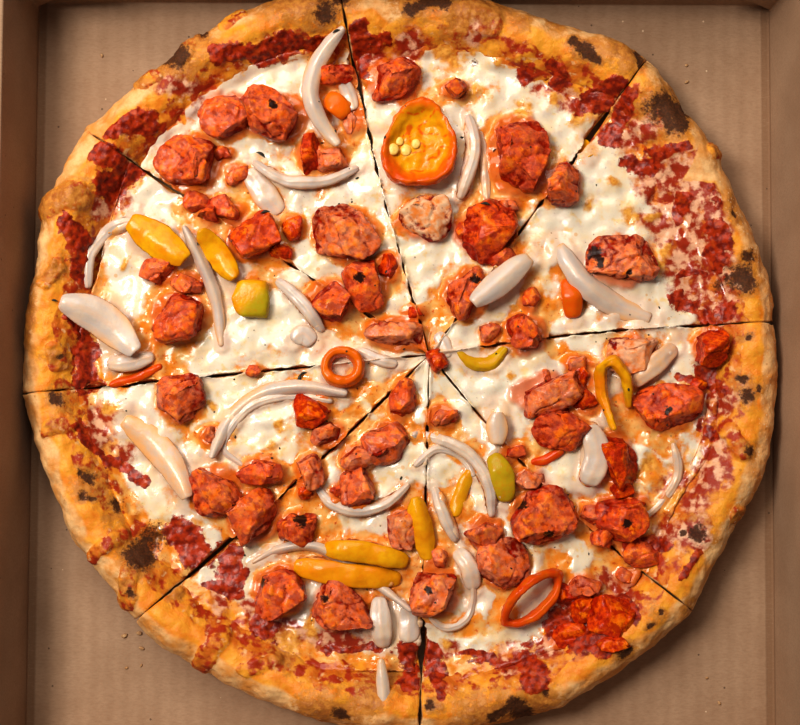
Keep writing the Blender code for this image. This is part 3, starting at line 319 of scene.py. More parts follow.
# Herbs and seeds, and how far from the pizza's middle the specks are scattered
HERBS = ((-27, 134, 3.4, 20), (-33, 91, 1.6, 0), (-58, 86, 4.5, -35), (-55, 61, 4, 10), (33, 65, 4, -10),
         (-41, -5, 5, 80), (-40, -3, 3.4, 20), (37, 88, 2, 40), (69, -56, 2, 70), (-138, 25, 3, -10))
SPECK_REACH = 112.0
SEEDS = ((-4, 87, 2.2), (1, 87, 2.2), (5, 89.5, 1.8), (-1.5, 90.5, 1.6))
FLOOR_CRUMBS = ((-107, -109, 1.4), (-113, -110, 1.5), (-106, -115, 1.2), (-126, 130, 0.9), (118, 127, 0.9),
                (-112, -123, 0.9), (-106, -122, 0.8), (125, -126, 0.8), (130, -136, 0.9), (118, 120, 1.0))


# Settings

def colour(name, words, value):
    return FloatVectorProperty(name=name, description=words, subtype="COLOR", size=3, min=0, max=1, default=value)


def length(name, words, value):
    return FloatProperty(name=name, description=words, unit="LENGTH", precision=4, default=value)


class BoxSettings(bpy.types.PropertyGroup):
    board: colour("Board", "Kraft paper of the box", (0.44, 0.285, 0.178))
    board_dark: colour("Fibres", "Darker fibres and creases of the paper", (0.23, 0.118, 0.055))
    flute_pitch: length("Flute pitch", "Distance from one flute to the next", 0.0065)
    fold_radius: length("Fold radius", "Rounding of the folded and cut edges", 0.0008)


class CrustSettings(bpy.types.PropertyGroup):
    outer: colour("Outer crust", "Pale golden rim", (0.86, 0.53, 0.24))
    outer_deep: colour("Deeper crust", "Better baked parts of the rim", (0.72, 0.30, 0.062))
    inner: colour("Inner crust", "Oily yellow part next to the cheese", (0.85, 0.38, 0.036))
    brown: colour("Browned", "Browned spots", (0.42, 0.14, 0.022))
    char: colour("Charred", "Charred spots", (0.055, 0.018, 0.007))
    edge: length("Longest edge", "Longest edge of the finished crust mesh", 0.0015)
    relief: length("Relief", "Height of the bumps of the rim", 0.0010)


class CheeseSettings(bpy.types.PropertyGroup):
    white: colour("White cheese", "Melted cheese", (0.81, 0.71, 0.55))
    cream: colour("Cream cheese", "Yellower parts of the cheese", (0.84, 0.64, 0.38))
    oil: colour("Oil", "Cheese stained by the sauce and oil", (0.80, 0.27, 0.022))
    sauce: colour("Sauce", "Tomato sauce", (0.47, 0.042, 0.004))
    browned: colour("Browned", "Cheese browned by the oven", (0.62, 0.25, 0.035))
    edge: length("Longest edge", "Longest edge of the finished cheese mesh", 0.0014)
    relief: length("Relief", "Height of the bumps of the cheese", 0.0009)


class ToppingSettings(bpy.types.PropertyGroup):
    chicken: colour("Chicken", "Spiced chicken", (0.78, 0.092, 0.0005))
    # Light chicken: painted highlight on the raised tops of each chunk.
    chicken_painted_highlight: colour("Light chicken", "Worn tops of the chicken", (0.93, 0.235, 0.004))
    # Dark chicken: painted shade in deep red, in the grooves and on the low sides of each chunk.
    chicken_painted_shade: colour("Dark chicken", "Hollows of the chicken", (0.20, 0.004, 0.0))
    onion: colour("Onion", "Softened onion", (0.60, 0.50, 0.43))
    pepper: colour("Yellow pepper", "Yellow pepper", (0.78, 0.40, 0.006))
    pepper_red: colour("Red pepper", "Orange to red pepper", (0.66, 0.050, 0.003))
    crag: length("Crags", "Depth of the chicken's cracks", 0.0011)
    herbs: IntProperty(name="Herb specks", description="Number of scattered herb specks", min=0, default=70)


class LightSettings(bpy.types.PropertyGroup):
    key_power: FloatProperty(name="Key light", description="Power of the main light", unit="POWER", default=7.4)
    sky_power: FloatProperty(name="Top light", description="Power of the broad light", unit="POWER", default=4.0)
    fill: FloatProperty(name="Fill", description="Strength of the light all round", min=0, default=0.14)
    ground: colour("Ground", "Table below the box", (0.80, 0.78, 0.75))


# Meshes

def merged_copy(node):
    """A merged copy of a node's mesh in millimetres."""
    work = bmesh.new()
    work.from_mesh(frame["nodes"][node].data)
    bmesh.ops.scale(work, vec=(1 / MM,) * 3, verts=work.verts)
    bmesh.ops.remove_doubles(work, verts=work.verts, dist=MERGE)
    return work


def join_quads(work):
    bmesh.ops.join_triangles(work, faces=work.faces, angle_face_threshold=JOIN_ANGLE, angle_shape_threshold=JOIN_ANGLE)


def crease_sharp(work, amount):
    """Marks the edges of steep folds so that rounding keeps them crisper."""
    layer = work.edges.layers.float.get("crease_edge") or work.edges.layers.float.new("crease_edge")
    for edge in work.edges:
        if len(edge.link_faces) == 2 and edge.calc_face_angle() > SHARP_ANGLE:
            edge[layer] = amount


def rounded(work, levels):
    """The same mesh after Catmull-Clark subdivision."""
    mesh = bpy.data.meshes.new("rounding")
    work.to_mesh(mesh)
    work.free()
    holder = bpy.data.objects.new("rounding", mesh)
    bpy.context.scene.collection.objects.link(holder)
    modifier = holder.modifiers.new("round", "SUBSURF")
    modifier.levels = levels
    modifier.render_levels = levels
    made = bmesh.new()
    made.from_object(holder, bpy.context.evaluated_depsgraph_get())
    bpy.data.objects.remove(holder)
    bpy.data.meshes.remove(mesh)
    return made


def coordinates(work):
    work.verts.index_update()
    return np.array([v.co for v in work.verts])


def refine(work, longest, wanted=None):
    """Splits edges until none is longer than the given length, where the wanted places are."""
    bmesh.ops.triangulate(work, faces=work.faces)
    for _ in range(8):
        places = coordinates(work)
        ends = np.array([(e.verts[0].index, e.verts[1].index) for e in work.edges])
        split = np.linalg.norm(places[ends[:, 0]] - places[ends[:, 1]], axis=1) > longest
        if wanted:
            split &= wanted(places)[ends].any(axis=1)
        if not split.any():
            return
        work.edges.ensure_lookup_table()
        halved = [work.edges[k] for k in np.nonzero(split)[0]]
        bmesh.ops.subdivide_edges(work, edges=halved, cuts=1, use_single_edge=True)
        wide = [f for f in work.faces if len(f.verts) > 3]
        bmesh.ops.triangulate(work, faces=wide, quad_method="SHORT_EDGE")


def soften(work, times, wanted=None, factor=0.5):
    chosen = [v for v in work.verts if wanted is None or wanted(v)]
    for _ in range(times):
        bmesh.ops.smooth_vert(work, verts=chosen, factor=factor, use_axis_x=True, use_axis_y=True, use_axis_z=True)


def arrays(work):
    """Ends the work on a mesh: gives it with its vertices' places and normals."""
    mesh = bpy.data.meshes.new("piece")
    work.to_mesh(mesh)
    work.free()
    places, normals = (np.empty(3 * len(mesh.vertices), np.float32) for _ in range(2))
    mesh.vertices.foreach_get("co", places)
    mesh.vertex_normals.foreach_get("vector", normals)
    return mesh, places.reshape(-1, 3).astype(float), normals.reshape(-1, 3).astype(float)


def put_places(work, places):
    for vert, place in zip(work.verts, places):
        vert.co = place


# Noise

LATTICE = np.random.default_rng(7).normal(size=(256, 3))
LATTICE /= np.linalg.norm(LATTICE, axis=1)[:, None]
SHUFFLE = np.random.default_rng(8).permutation(256)
CORNERS = [np.array(corner) for corner in itertools.product((0, 1), repeat=3)]
NOISE_GAIN = 1.7


def shuffled(cells):
    """A number from 0 to 255 for each whole-numbered cell."""
    pick = SHUFFLE[cells[:, 0] & 255]
    pick = SHUFFLE[(pick + cells[:, 1]) & 255]
    return SHUFFLE[(pick + cells[:, 2]) & 255]


def noise_of(places, size, seed):
    """Smooth noise from about -1 to 1 with features of the given size."""
    spots = places / size + np.array((seed, 0.7 * seed, 1.3 * seed))
    cells = np.floor(spots).astype(int)
    part = spots - cells
    ease = part ** 3 * (part * (part * 6 - 15) + 10)
    total = np.zeros(len(places))
    for corner in CORNERS:
        share_of_corner = np.prod(np.where(corner, ease, 1 - ease), axis=1)
        total += share_of_corner * np.einsum("ij,ij->i", LATTICE[shuffled(cells + corner)], part - corner)
    return NOISE_GAIN * total


def wander(places, amount=3.0):
    """Places shifted sideways by noise, so that marks get uneven outlines."""
    moved = places.copy()
    for axis in (0, 1):
        moved[:, axis] += amount * noise_of(places, 9.0, 21 + axis) + 0.5 * amount * noise_of(places, 3.2, 24 + axis)
    return moved


def field(places, marks):
    """Nearness to the marks: 1 in their middle, 0.5 at their edge, 0 at twice their size."""
    best = np.zeros(len(places))
    for mark in marks:
        start = np.array(mark[:2], float)
        span = np.array(mark[2:4], float) - start if len(mark) == 5 else np.zeros(2)
        offset = places[:, :2] - start
        along = np.clip(offset @ span / max(span @ span, 1e-9), 0, 1)
        gap = offset - np.outer(along, span)
        best = np.maximum(best, 1 - np.hypot(gap[:, 0], gap[:, 1]) / (2 * mark[-1]))
    return np.clip(best, 0, 1)


def smooth_step(value, low, high):
    t = np.clip((value - low) / (high - low), 0, 1)
    return t * t * (3 - 2 * t)


def piece(mesh, places, name, material, masks=None, replaces=(), body=BODY, smooth=True):
    """Makes the finished object from places in millimetres, with its masks as vertex attributes."""
    mesh.name = name
    mesh.vertices.foreach_set("co", (places * MM).ravel())
    for key, values in (masks or {}).items():
        layer = mesh.attributes.new(key, "FLOAT", "POINT")
        layer.data.foreach_set("value", np.asarray(values, np.float32))
    mesh.polygons.foreach_set("use_smooth", [smooth] * len(mesh.polygons))
    mesh.materials.clear()
    mesh.materials.append(material)
    mesh.update()
    made = bpy.data.objects.new(name, mesh)
    bpy.context.scene.collection.objects.link(made)
    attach(made, body)
    if replaces:
        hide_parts(*replaces)
    return made


def rim_profile():
    """Rim radius round the pizza's middle, read from the dough nodes."""
    reach = np.zeros(RIM_BINS)
    for k in SLICES:
        for vert in frame["nodes"][f"dough_{k}"].data.vertices:
            x, y = vert.co.x / MM - MIDDLE[0], vert.co.y / MM - MIDDLE[1]
            turn = int((math.atan2(y, x) / (2 * math.pi) % 1.0) * RIM_BINS) % RIM_BINS
            reach[turn] = max(reach[turn], math.hypot(x, y))
    filled = [k for k in range(RIM_BINS) if reach[k] > 140]
    turns = np.arange(RIM_BINS)
    return np.interp(turns, filled, reach[filled], period=RIM_BINS)


RIM = rim_profile()


def inward_of(places):
    """Distance of each place in from the rim."""
    x, y = places[:, 0] - MIDDLE[0], places[:, 1] - MIDDLE[1]
    turns = (np.arctan2(y, x) / (2 * math.pi) % 1.0) * RIM_BINS - 0.5
    return np.interp(turns, np.arange(RIM_BINS), RIM, period=RIM_BINS) - np.hypot(x, y)


# Colours mixed into the finishes, beside those in the settings
SAUCE_DEEP = (0.21, 0.012, 0.002)
SAUCE_BRIGHT = (0.56, 0.085, 0.010)
SHREDS_SAUCE = (0.36, 0.035, 0.009)
SHREDS_CHEESE = (0.80, 0.46, 0.28)
SHREDS_OIL = (0.66, 0.20, 0.024)
FILM_RED = (0.62, 0.16, 0.014)
FILM_ORANGE = (0.82, 0.36, 0.034)
FILM_SAUCE = (0.42, 0.040, 0.006)
FILM_CHEESE = (0.80, 0.48, 0.22)
BOARD_SPECK = (0.06, 0.03, 0.015)
BOARD_CHIP = (0.85, 0.66, 0.45)
INNER_ORANGE = (0.80, 0.25, 0.018)
RIM_UNDER = (0.52, 0.25, 0.09)
RIM_GRAIN = (0.55, 0.19, 0.03)
RIM_TOASTED = (0.62, 0.26, 0.045)
RIM_SOOT = (0.10, 0.028, 0.008)
CRUMB_PALE = (0.80, 0.55, 0.28)
CRUMB_DEEP = (0.62, 0.33, 0.12)
FLOUR = (0.88, 0.70, 0.47)
OIL_PALE = (0.82, 0.47, 0.15)
OIL_DEEP = (0.62, 0.11, 0.008)
CURD_SHADE = (0.66, 0.52, 0.44)
CURD_BUTTER = (0.84, 0.57, 0.22)
CHEESE_SPOT = (0.72, 0.33, 0.07)
CHEESE_SPECK = (0.14, 0.09, 0.05)
# Dark orange round the toppings: oil stain, and painted contact shade where they meet the cheese
OIL_HALO_AND_CONTACT_SHADE = (0.66, 0.12, 0.010)
CHEESE_TOASTED = (0.82, 0.42, 0.08)
CHEESE_CHAR = (0.06, 0.02, 0.010)
CHEESE_SOOT = (0.24, 0.065, 0.014)
CUT_SAUCE = (0.42, 0.06, 0.015)
CUT_CHEESE = (0.72, 0.36, 0.12)
CHICKEN_BLOTCH = (0.38, 0.012, 0.0)
CHICKEN_WINE = (0.36, 0.016, 0.004)
CHICKEN_RED = (0.62, 0.050, 0.006)
CHICKEN_PALE = (0.84, 0.56, 0.34)
CHICKEN_PALE_ORANGE = (0.80, 0.26, 0.05)
CHICKEN_FLECK = (0.28, 0.02, 0.004)
CHICKEN_BURNT = (0.035, 0.010, 0.006)
ONION_CLOUD = (0.72, 0.56, 0.42)
ONION_LINE = (0.76, 0.50, 0.33)
ONION_OIL = (0.84, 0.40, 0.10)
ONION_FOOT = (0.80, 0.42, 0.15)
PEPPER_DEEP = (0.74, 0.29, 0.003)
PEPPER_ORANGE = (0.76, 0.15, 0.003)
PEPPER_GREEN = (0.45, 0.33, 0.012)
PEPPER_SHADE = (0.62, 0.20, 0.004)
HERB_GREY = (0.035, 0.030, 0.012)
HERB_DARK = (0.010, 0.008, 0.005)
SEED_PALE = (0.90, 0.66, 0.20)
SEED_GOLD = (0.84, 0.52, 0.10)
CRUMB_LIGHT = (0.62, 0.40, 0.20)
CRUMB_BROWN = (0.40, 0.20, 0.08)
TABLE_CLOUD = (0.72, 0.70, 0.67)


# Materials

def math_node(tree, operation, *values):
    """Output of a new math node, with each value a number or another node's output."""
    made = tree.nodes.new("ShaderNodeMath")
    made.operation = operation
    for value, socket in zip(values, made.inputs):
        if isinstance(value, bpy.types.NodeSocket):
            tree.links.new(value, socket)
        else:
            socket.default_value = value
    return made.outputs[0]


class Finish:
    """A material being put together: its Principled shader and short ways to add nodes."""

    def __init__(self, name):
        self.material = bpy.data.materials.new(name)
        self.material.use_nodes = True
        self.tree = self.material.node_tree
        self.shader = self.tree.nodes["Principled BSDF"]
        self.place = self.tree.nodes.new("ShaderNodeTexCoord").outputs["Object"]

    def link(self, source, target):
        if isinstance(source, bpy.types.NodeSocket):
            self.tree.links.new(source, target)
        elif hasattr(source, "__len__") and len(target.default_value) == 4:
            target.default_value = (*source, 1.0)
        else:
            target.default_value = source

    def noise(self, size, detail, rough=0.55, stretch=None):
        """Noise with features of the given size in millimetres."""
        made = self.tree.nodes.new("ShaderNodeTexNoise")
        made.inputs["Scale"].default_value = 1 / (size * MM)
        made.inputs["Detail"].default_value = detail
        made.inputs["Roughness"].default_value = rough
        source = self.place
        if stretch:
            mapping = self.tree.nodes.new("ShaderNodeMapping")
            mapping.inputs["Scale"].default_value = stretch
            self.tree.links.new(self.place, mapping.inputs["Vector"])
            source = mapping.outputs["Vector"]
        self.tree.links.new(source, made.inputs["Vector"])
        return made.outputs["Fac"]

    def mask(self, name):
        made = self.tree.nodes.new("ShaderNodeAttribute")
        made.attribute_name = name
        return made.outputs["Fac"]

    def math(self, operation, first, second=0.0):
        return math_node(self.tree, operation, first, second)

    def times(self, first, second):
        return self.math("MULTIPLY", first, second)

    def sauce(self):
        """Colour of the tomato sauce."""
        red = tuple(bpy.context.scene.pizza_cheese.sauce)
        base = self.mix(self.step(self.noise(2.4, 3, 0.5), 0.38, 0.62), SAUCE_DEEP, red)
        return self.mix(self.step(self.noise(5.0, 2), 0.56, 0.70, 0.0, 0.7), base, SAUCE_BRIGHT)

    def shreds(self):
        """Colour of dark sauce that shows between shreds of cheese."""
        base = self.mix(self.step(self.noise(4.0, 3, 0.5), 0.44, 0.62), SHREDS_SAUCE, SHREDS_CHEESE)
        return self.mix(self.step(self.noise(7.0, 3), 0.54, 0.70), base, SHREDS_OIL)

    def film(self):
        """Colour of the baked film of cheese, oil and sauce between the crust and the cheese."""
        base = self.mix(self.step(self.noise(9, 3), 0.38, 0.62), FILM_RED, FILM_ORANGE)
        base = self.mix(self.step(self.noise(5.0, 3, 0.5), 0.47, 0.60), base, FILM_SAUCE)
        pale = self.step(self.noise(3.0, 3, 0.5), 0.58, 0.72, 0.0, 0.85)
        return self.mix(pale, base, FILM_CHEESE)

    def step(self, value, low, high, start=0.0, end=1.0):
        """A smooth step of the value from low to high."""
        made = self.tree.nodes.new("ShaderNodeMapRange")
        made.interpolation_type = "SMOOTHSTEP"
        self.link(value, made.inputs["Value"])
        for socket, number in zip(("From Min", "From Max", "To Min", "To Max"), (low, high, start, end)):
            made.inputs[socket].default_value = number
        return made.outputs["Result"]

    def mix(self, amount, first, second):
        made = self.tree.nodes.new("ShaderNodeMix")
        made.data_type = "RGBA"
        self.link(amount, made.inputs[0])
        self.link(first, made.inputs[6])
        self.link(second, made.inputs[7])
        return made.outputs[2]

    def group(self, tree, **values):
        made = self.tree.nodes.new("ShaderNodeGroup")
        made.node_tree = tree
        for key, value in values.items():
            self.link(value, made.inputs[key.replace("_", " ")])
        return made.outputs[0]

    def ragged(self, value, size, uneven, soft):
        """A field turned into a mask with an uneven edge."""
        return self.group(ragged_edge(), Field=value, Size=1 / (size * MM), Uneven=uneven, Softness=soft)

    def bump(self, height, distance):
        """Relief of the given depth in millimetres."""
        made = self.tree.nodes.new("ShaderNodeBump")
        made.inputs["Strength"].default_value = 1.0
        made.inputs["Distance"].default_value = distance * MM
        self.link(height, made.inputs["Height"])
        self.tree.links.new(made.outputs["Normal"], self.shader.inputs["Normal"])

    def scatter(self, radius):
        """How far red, green and blue light spread below the surface, in millimetres."""
        self.shader.inputs["Subsurface Radius"].default_value = [reach * MM for reach in radius]

    def set(self, **values):
        for key, value in values.items():
            self.link(value, self.shader.inputs[key.replace("_", " ")])


def new_group(name, inputs, output):
    tree = bpy.data.node_groups.new(name, "ShaderNodeTree")
    for key, value in inputs:
        socket = tree.interface.new_socket(key, in_out="INPUT", socket_type="NodeSocketFloat")
        socket.default_value = value
    tree.interface.new_socket(output, in_out="OUTPUT", socket_type="NodeSocketFloat")
    return tree, tree.nodes.new("NodeGroupInput"), tree.nodes.new("NodeGroupOutput")


def ragged_edge():
    """Node group: a smooth field becomes a mask whose edge wanders with noise."""
    found = bpy.data.node_groups.get("Ragged edge")
    if found:
        return found
    inputs = (("Field", 0.5), ("Size", 300.0), ("Uneven", 0.5), ("Softness", 0.1))
    tree, start, end = new_group("Ragged edge", inputs, "Mask")
    place = tree.nodes.new("ShaderNodeTexCoord")
    cloud = tree.nodes.new("ShaderNodeTexNoise")
    cloud.inputs["Detail"].default_value = 4.0
    cloud.inputs["Roughness"].default_value = 0.65
    tree.links.new(place.outputs["Object"], cloud.inputs["Vector"])
    tree.links.new(start.outputs["Size"], cloud.inputs["Scale"])
    centred = math_node(tree, "SUBTRACT", cloud.outputs["Fac"], 0.5)
    shifted = math_node(tree, "MULTIPLY_ADD", centred, start.outputs["Uneven"], start.outputs["Field"])
    edge = tree.nodes.new("ShaderNodeMapRange")
    edge.interpolation_type = "SMOOTHSTEP"
    tree.links.new(shifted, edge.inputs["Value"])
    tree.links.new(math_node(tree, "SUBTRACT", 0.5, start.outputs["Softness"]), edge.inputs["From Min"])
    tree.links.new(math_node(tree, "ADD", 0.5, start.outputs["Softness"]), edge.inputs["From Max"])
    tree.links.new(edge.outputs["Result"], end.inputs["Mask"])
    return tree


def speckle():
    """Node group: scattered round specks of one size, in a share of the cells."""
    found = bpy.data.node_groups.get("Speckle")
    if found:
        return found
    tree, start, end = new_group("Speckle", (("Size", 300.0), ("Radius", 0.2), ("Share", 0.3)), "Mask")
    place = tree.nodes.new("ShaderNodeTexCoord")
    cells = tree.nodes.new("ShaderNodeTexVoronoi")
    tree.links.new(place.outputs["Object"], cells.inputs["Vector"])
    tree.links.new(start.outputs["Size"], cells.inputs["Scale"])
    inside = math_node(tree, "LESS_THAN", cells.outputs["Distance"], start.outputs["Radius"])
    split = tree.nodes.new("ShaderNodeSeparateColor")
    tree.links.new(cells.outputs["Color"], split.inputs[0])
    chosen = math_node(tree, "LESS_THAN", split.outputs[0], start.outputs["Share"])
    tree.links.new(math_node(tree, "MULTIPLY", inside, chosen), end.inputs["Mask"])
    return tree


def board_finish(box):
    """Kraft board: fibres, faint flute stripes, and crushed strips along the folds."""
    f = Finish("kraft_board")
    cloud = f.noise(30, 4, 0.6)
    fibres = f.noise(1.1, 4, 0.7, (0.55, 1.5, 1.0))
    base = f.mix(f.step(cloud, 0.3, 0.7, 0.0, 0.35), tuple(box.board), tuple(box.board_dark))
    base = f.mix(f.step(fibres, 0.35, 0.75, 0.0, 0.32), base, tuple(box.board_dark))
    split = f.tree.nodes.new("ShaderNodeSeparateXYZ")
    f.link(f.place, split.inputs[0])
    wave = f.math("SINE", f.times(split.outputs["X"], 2 * math.pi / box.flute_pitch))
    base = f.mix(f.step(wave, -1.0, 1.0, 0.10, 0.0), base, tuple(box.board_dark))
    out = f.step(f.math("ABSOLUTE", split.outputs["X"]), CREASE_FROM * MM, (CREASE_FROM + 1.2) * MM)
    near_floor = f.step(split.outputs["Z"], (FLOOR + 2.0) * MM, (FLOOR + 0.4) * MM)
    crease = f.times(f.times(out, near_floor), f.step(fibres, 0.25, 0.5, 0.6, 1.0))
    base = f.mix(f.times(crease, 0.7), base, tuple(box.board_dark))
    dots = f.group(speckle(), Size=1 / (6.0 * MM), Radius=0.07, Share=0.35)
    base = f.mix(f.times(dots, 0.7), base, BOARD_SPECK)
    pale = f.group(speckle(), Size=1 / (8.3 * MM), Radius=0.05, Share=0.3)
    base = f.mix(f.times(pale, 0.6), base, BOARD_CHIP)
    f.set(Base_Color=base, Roughness=0.85)
    relief = f.math("ADD", f.times(wave, 0.10), f.times(fibres, 0.35))
    relief = f.math("SUBTRACT", relief, f.times(crease, 0.8))
    f.bump(relief, 0.25)
    return f.material


def crust_finish(crust):
    """Baked dough: pale rim, oily yellow inner band, browned and charred spots, floury specks."""
    f = Finish("baked_crust")
    cloud = f.noise(9, 4, 0.6)
    fine = f.noise(1.6, 4, 0.7)
    base = f.mix(f.step(cloud, 0.35, 0.68), tuple(crust.outer), tuple(crust.outer_deep))
    inner = f.mix(f.step(f.noise(6, 3), 0.35, 0.7), tuple(crust.inner), INNER_ORANGE)
    base = f.mix(f.ragged(f.mask("inner"), 7, 0.55, 0.22), base, inner)
    base = f.mix(f.step(f.mask("under"), 0.1, 0.9, 0.0, 0.55), base, RIM_UNDER)
    base = f.mix(f.step(fine, 0.5, 0.8, 0.0, 0.35), base, RIM_GRAIN)
    freckle = f.group(speckle(), Size=1 / (3.6 * MM), Radius=0.16, Share=0.16)
    base = f.mix(f.times(freckle, 0.45), base, tuple(crust.brown))
    base = f.mix(f.ragged(f.mask("film"), 4, 0.9, 0.14), base, f.film())
    brown = f.mix(f.step(f.noise(2.2, 4), 0.35, 0.65), tuple(crust.brown), RIM_TOASTED)
    base = f.mix(f.ragged(f.mask("brown"), 2.2, 2.0, 0.30), base, brown)
    base = f.mix(f.ragged(f.mask("mottle"), 3.4, 0.9, 0.18), base, f.shreds())
    base = f.mix(f.ragged(f.mask("sauce"), 2.5, 0.6, 0.06), base, f.sauce())
    char = f.ragged(f.mask("char"), 1.5, 1.1, 0.15)
    soot = f.mix(f.step(f.noise(0.9, 3), 0.40, 0.62), tuple(crust.char), RIM_SOOT)
    base = f.mix(f.times(char, 0.95), base, soot)
    crumb = f.mix(f.step(f.noise(1.4, 4), 0.4, 0.6), CRUMB_PALE, CRUMB_DEEP)
    base = f.mix(f.mask("crumb"), base, crumb)
    flour = f.group(speckle(), Size=1 / (1.5 * MM), Radius=0.26, Share=0.5)
    base = f.mix(f.times(f.times(flour, f.mask("flour")), 0.7), base, FLOUR)
    rough = f.math("MAXIMUM", f.step(f.mask("inner"), 0.2, 0.8, 0.60, 0.34), f.times(char, 0.75))
    f.set(Base_Color=base, Roughness=rough, Subsurface_Weight=0.05, Specular_IOR_Level=0.30)
    f.scatter((3.0, 1.5, 0.7))
    f.bump(f.math("ADD", fine, f.times(f.noise(0.6, 3), 0.4)), 0.35)
    return f.material


def cheese_finish(cheese):
    """Melted cheese over tomato sauce: white pools, oily stains, browned spots, specks and bare sauce."""
    f = Finish("melted_cheese")
    cloud = f.noise(11, 4, 0.55)
    fine = f.noise(2.4, 4, 0.65)
    oil = f.mix(f.step(f.noise(5.5, 3), 0.36, 0.64), tuple(cheese.oil), OIL_PALE)
    oil = f.mix(f.step(fine, 0.56, 0.72), oil, OIL_DEEP)
    curd = f.mix(f.step(cloud, 0.42, 0.72), tuple(cheese.white), tuple(cheese.cream))
    curd = f.mix(f.step(f.noise(7.5, 3), 0.52, 0.70, 0.0, 0.6), curd, CURD_SHADE)
    curd = f.mix(f.step(f.noise(4.2, 3), 0.56, 0.72, 0.0, 0.7), curd, CURD_BUTTER)
    base = f.mix(f.ragged(f.mask("white"), 3.4, 0.8, 0.16), oil, curd)
    spots = f.group(speckle(), Size=1 / (7.0 * MM), Radius=0.12, Share=0.4)
    base = f.mix(f.times(spots, 0.5), base, CHEESE_SPOT)
    dots = f.group(speckle(), Size=1 / (4.3 * MM), Radius=0.09, Share=0.22)
    base = f.mix(f.times(dots, 0.65), base, CHEESE_SPECK)
    film = f.times(f.mask("film"), f.step(f.mask("white"), 0.62, 0.42))
    base = f.mix(f.ragged(film, 3.6, 0.9, 0.16), base, f.film())
    base = f.mix(f.ragged(f.mask("mottle"), 3.4, 0.9, 0.18), base, f.shreds())
    # Oil stain and painted contact shade round the toppings and along the strips
    base = f.mix(f.times(f.mask("oil"), 0.8), base, OIL_HALO_AND_CONTACT_SHADE)
    toasted = f.mix(f.step(f.noise(1.8, 4), 0.35, 0.65), tuple(cheese.browned), CHEESE_TOASTED)
    base = f.mix(f.ragged(f.mask("browned"), 2.6, 0.9, 0.25), base, toasted)
    sauce = f.ragged(f.mask("sauce"), 2.6, 0.7, 0.06)
    base = f.mix(sauce, base, f.sauce())
    soot = f.mix(f.step(f.noise(0.9, 3), 0.40, 0.62), CHEESE_CHAR, CHEESE_SOOT)
    base = f.mix(f.times(f.ragged(f.mask("char"), 1.2, 2.2, 0.25), 0.92), base, soot)
    side = f.mix(f.step(fine, 0.4, 0.6), CUT_SAUCE, CUT_CHEESE)
    base = f.mix(f.mask("side"), base, side)
    rough = f.math("MAXIMUM", f.step(cloud, 0.3, 0.7, 0.10, 0.24), f.times(sauce, 0.34))
    f.set(Base_Color=base, Roughness=rough, Subsurface_Weight=0.08)
    f.scatter((3.0, 1.8, 1.0))
    grain = f.times(f.noise(0.9, 3, 0.6), f.step(sauce, 0.0, 1.0, 0.12, 1.0))
    f.bump(f.math("ADD", f.times(fine, 0.6), grain), 0.22)
    return f.material


def chicken_finish(top):
    """Spiced chicken: painted highlight on tops, deep red painted shade in hollows and low sides, a few burnt edges."""
    f = Finish("spiced_chicken")
    fine = f.noise(1.6, 4, 0.65)
    cloud = f.noise(6, 3)
    # level: low in grooves and on low sides for painted shade, high on lumps and tops for painted highlight
    level = f.math("ADD", f.mask("crag"), f.times(f.math("SUBTRACT", fine, 0.5), 0.7))
    base = f.mix(f.step(level, 0.34, 0.66), tuple(top.chicken_painted_shade), tuple(top.chicken))
    base = f.mix(f.step(level, 0.64, 0.98), base, tuple(top.chicken_painted_highlight))
    blotch = f.step(f.noise(3.6, 3, 0.6), 0.47, 0.60, 0.0, 0.88)
    base = f.mix(blotch, base, CHICKEN_BLOTCH)
    red = f.mix(f.step(fine, 0.38, 0.62), CHICKEN_WINE, CHICKEN_RED)
    base = f.mix(f.times(f.mask("red"), f.step(cloud, 0.35, 0.62, 1.0, 0.15)), base, red)
    pale = f.mix(f.step(f.noise(3.0, 3), 0.35, 0.7), CHICKEN_PALE, CHICKEN_PALE_ORANGE)
    base = f.mix(f.times(f.mask("pale"), f.step(level, 0.25, 0.6)), base, pale)
    flecks = f.group(speckle(), Size=1 / (2.2 * MM), Radius=0.17, Share=0.2)
    base = f.mix(f.times(flecks, 0.5), base, CHICKEN_FLECK)
    base = f.mix(f.ragged(f.mask("char"), 1.8, 1.2, 0.12), base, CHICKEN_BURNT)
    f.set(Base_Color=base, Roughness=f.step(cloud, 0.3, 0.7, 0.09, 0.17), Specular_IOR_Level=0.15)
    f.bump(f.math("ADD", fine, f.times(f.noise(0.7, 3, 0.6), 0.20)), 0.20)
    return f.material


def onion_finish(top):
    """Softened onion: translucent white with orange oil along its edges."""
    f = Finish("soft_onion")
    cloud = f.noise(8, 3)
    across = f.mask("across")
    waver = f.math("ADD", f.times(across, 9.0), f.times(f.noise(9, 2), 3.0))
    lines = f.times(f.math("ADD", f.math("SINE", waver), 1.0), 0.5)
    base = f.mix(f.step(cloud, 0.35, 0.7), tuple(top.onion), ONION_CLOUD)
    base = f.mix(f.times(f.step(lines, 0.4, 1.0), 0.38), base, ONION_LINE)
    tinge = f.ragged(f.mask("tinge"), 4, 0.7, 0.3)
    base = f.mix(f.times(tinge, 0.7), base, ONION_OIL)
    base = f.mix(f.times(f.mask("low"), 0.75), base, ONION_FOOT)
    f.set(Base_Color=base, Roughness=0.27, Subsurface_Weight=0.30)
    f.scatter((3.0, 2.0, 1.3))
    f.bump(f.math("ADD", lines, f.times(f.noise(1.6, 3), 0.9)), 0.10)
    return f.material


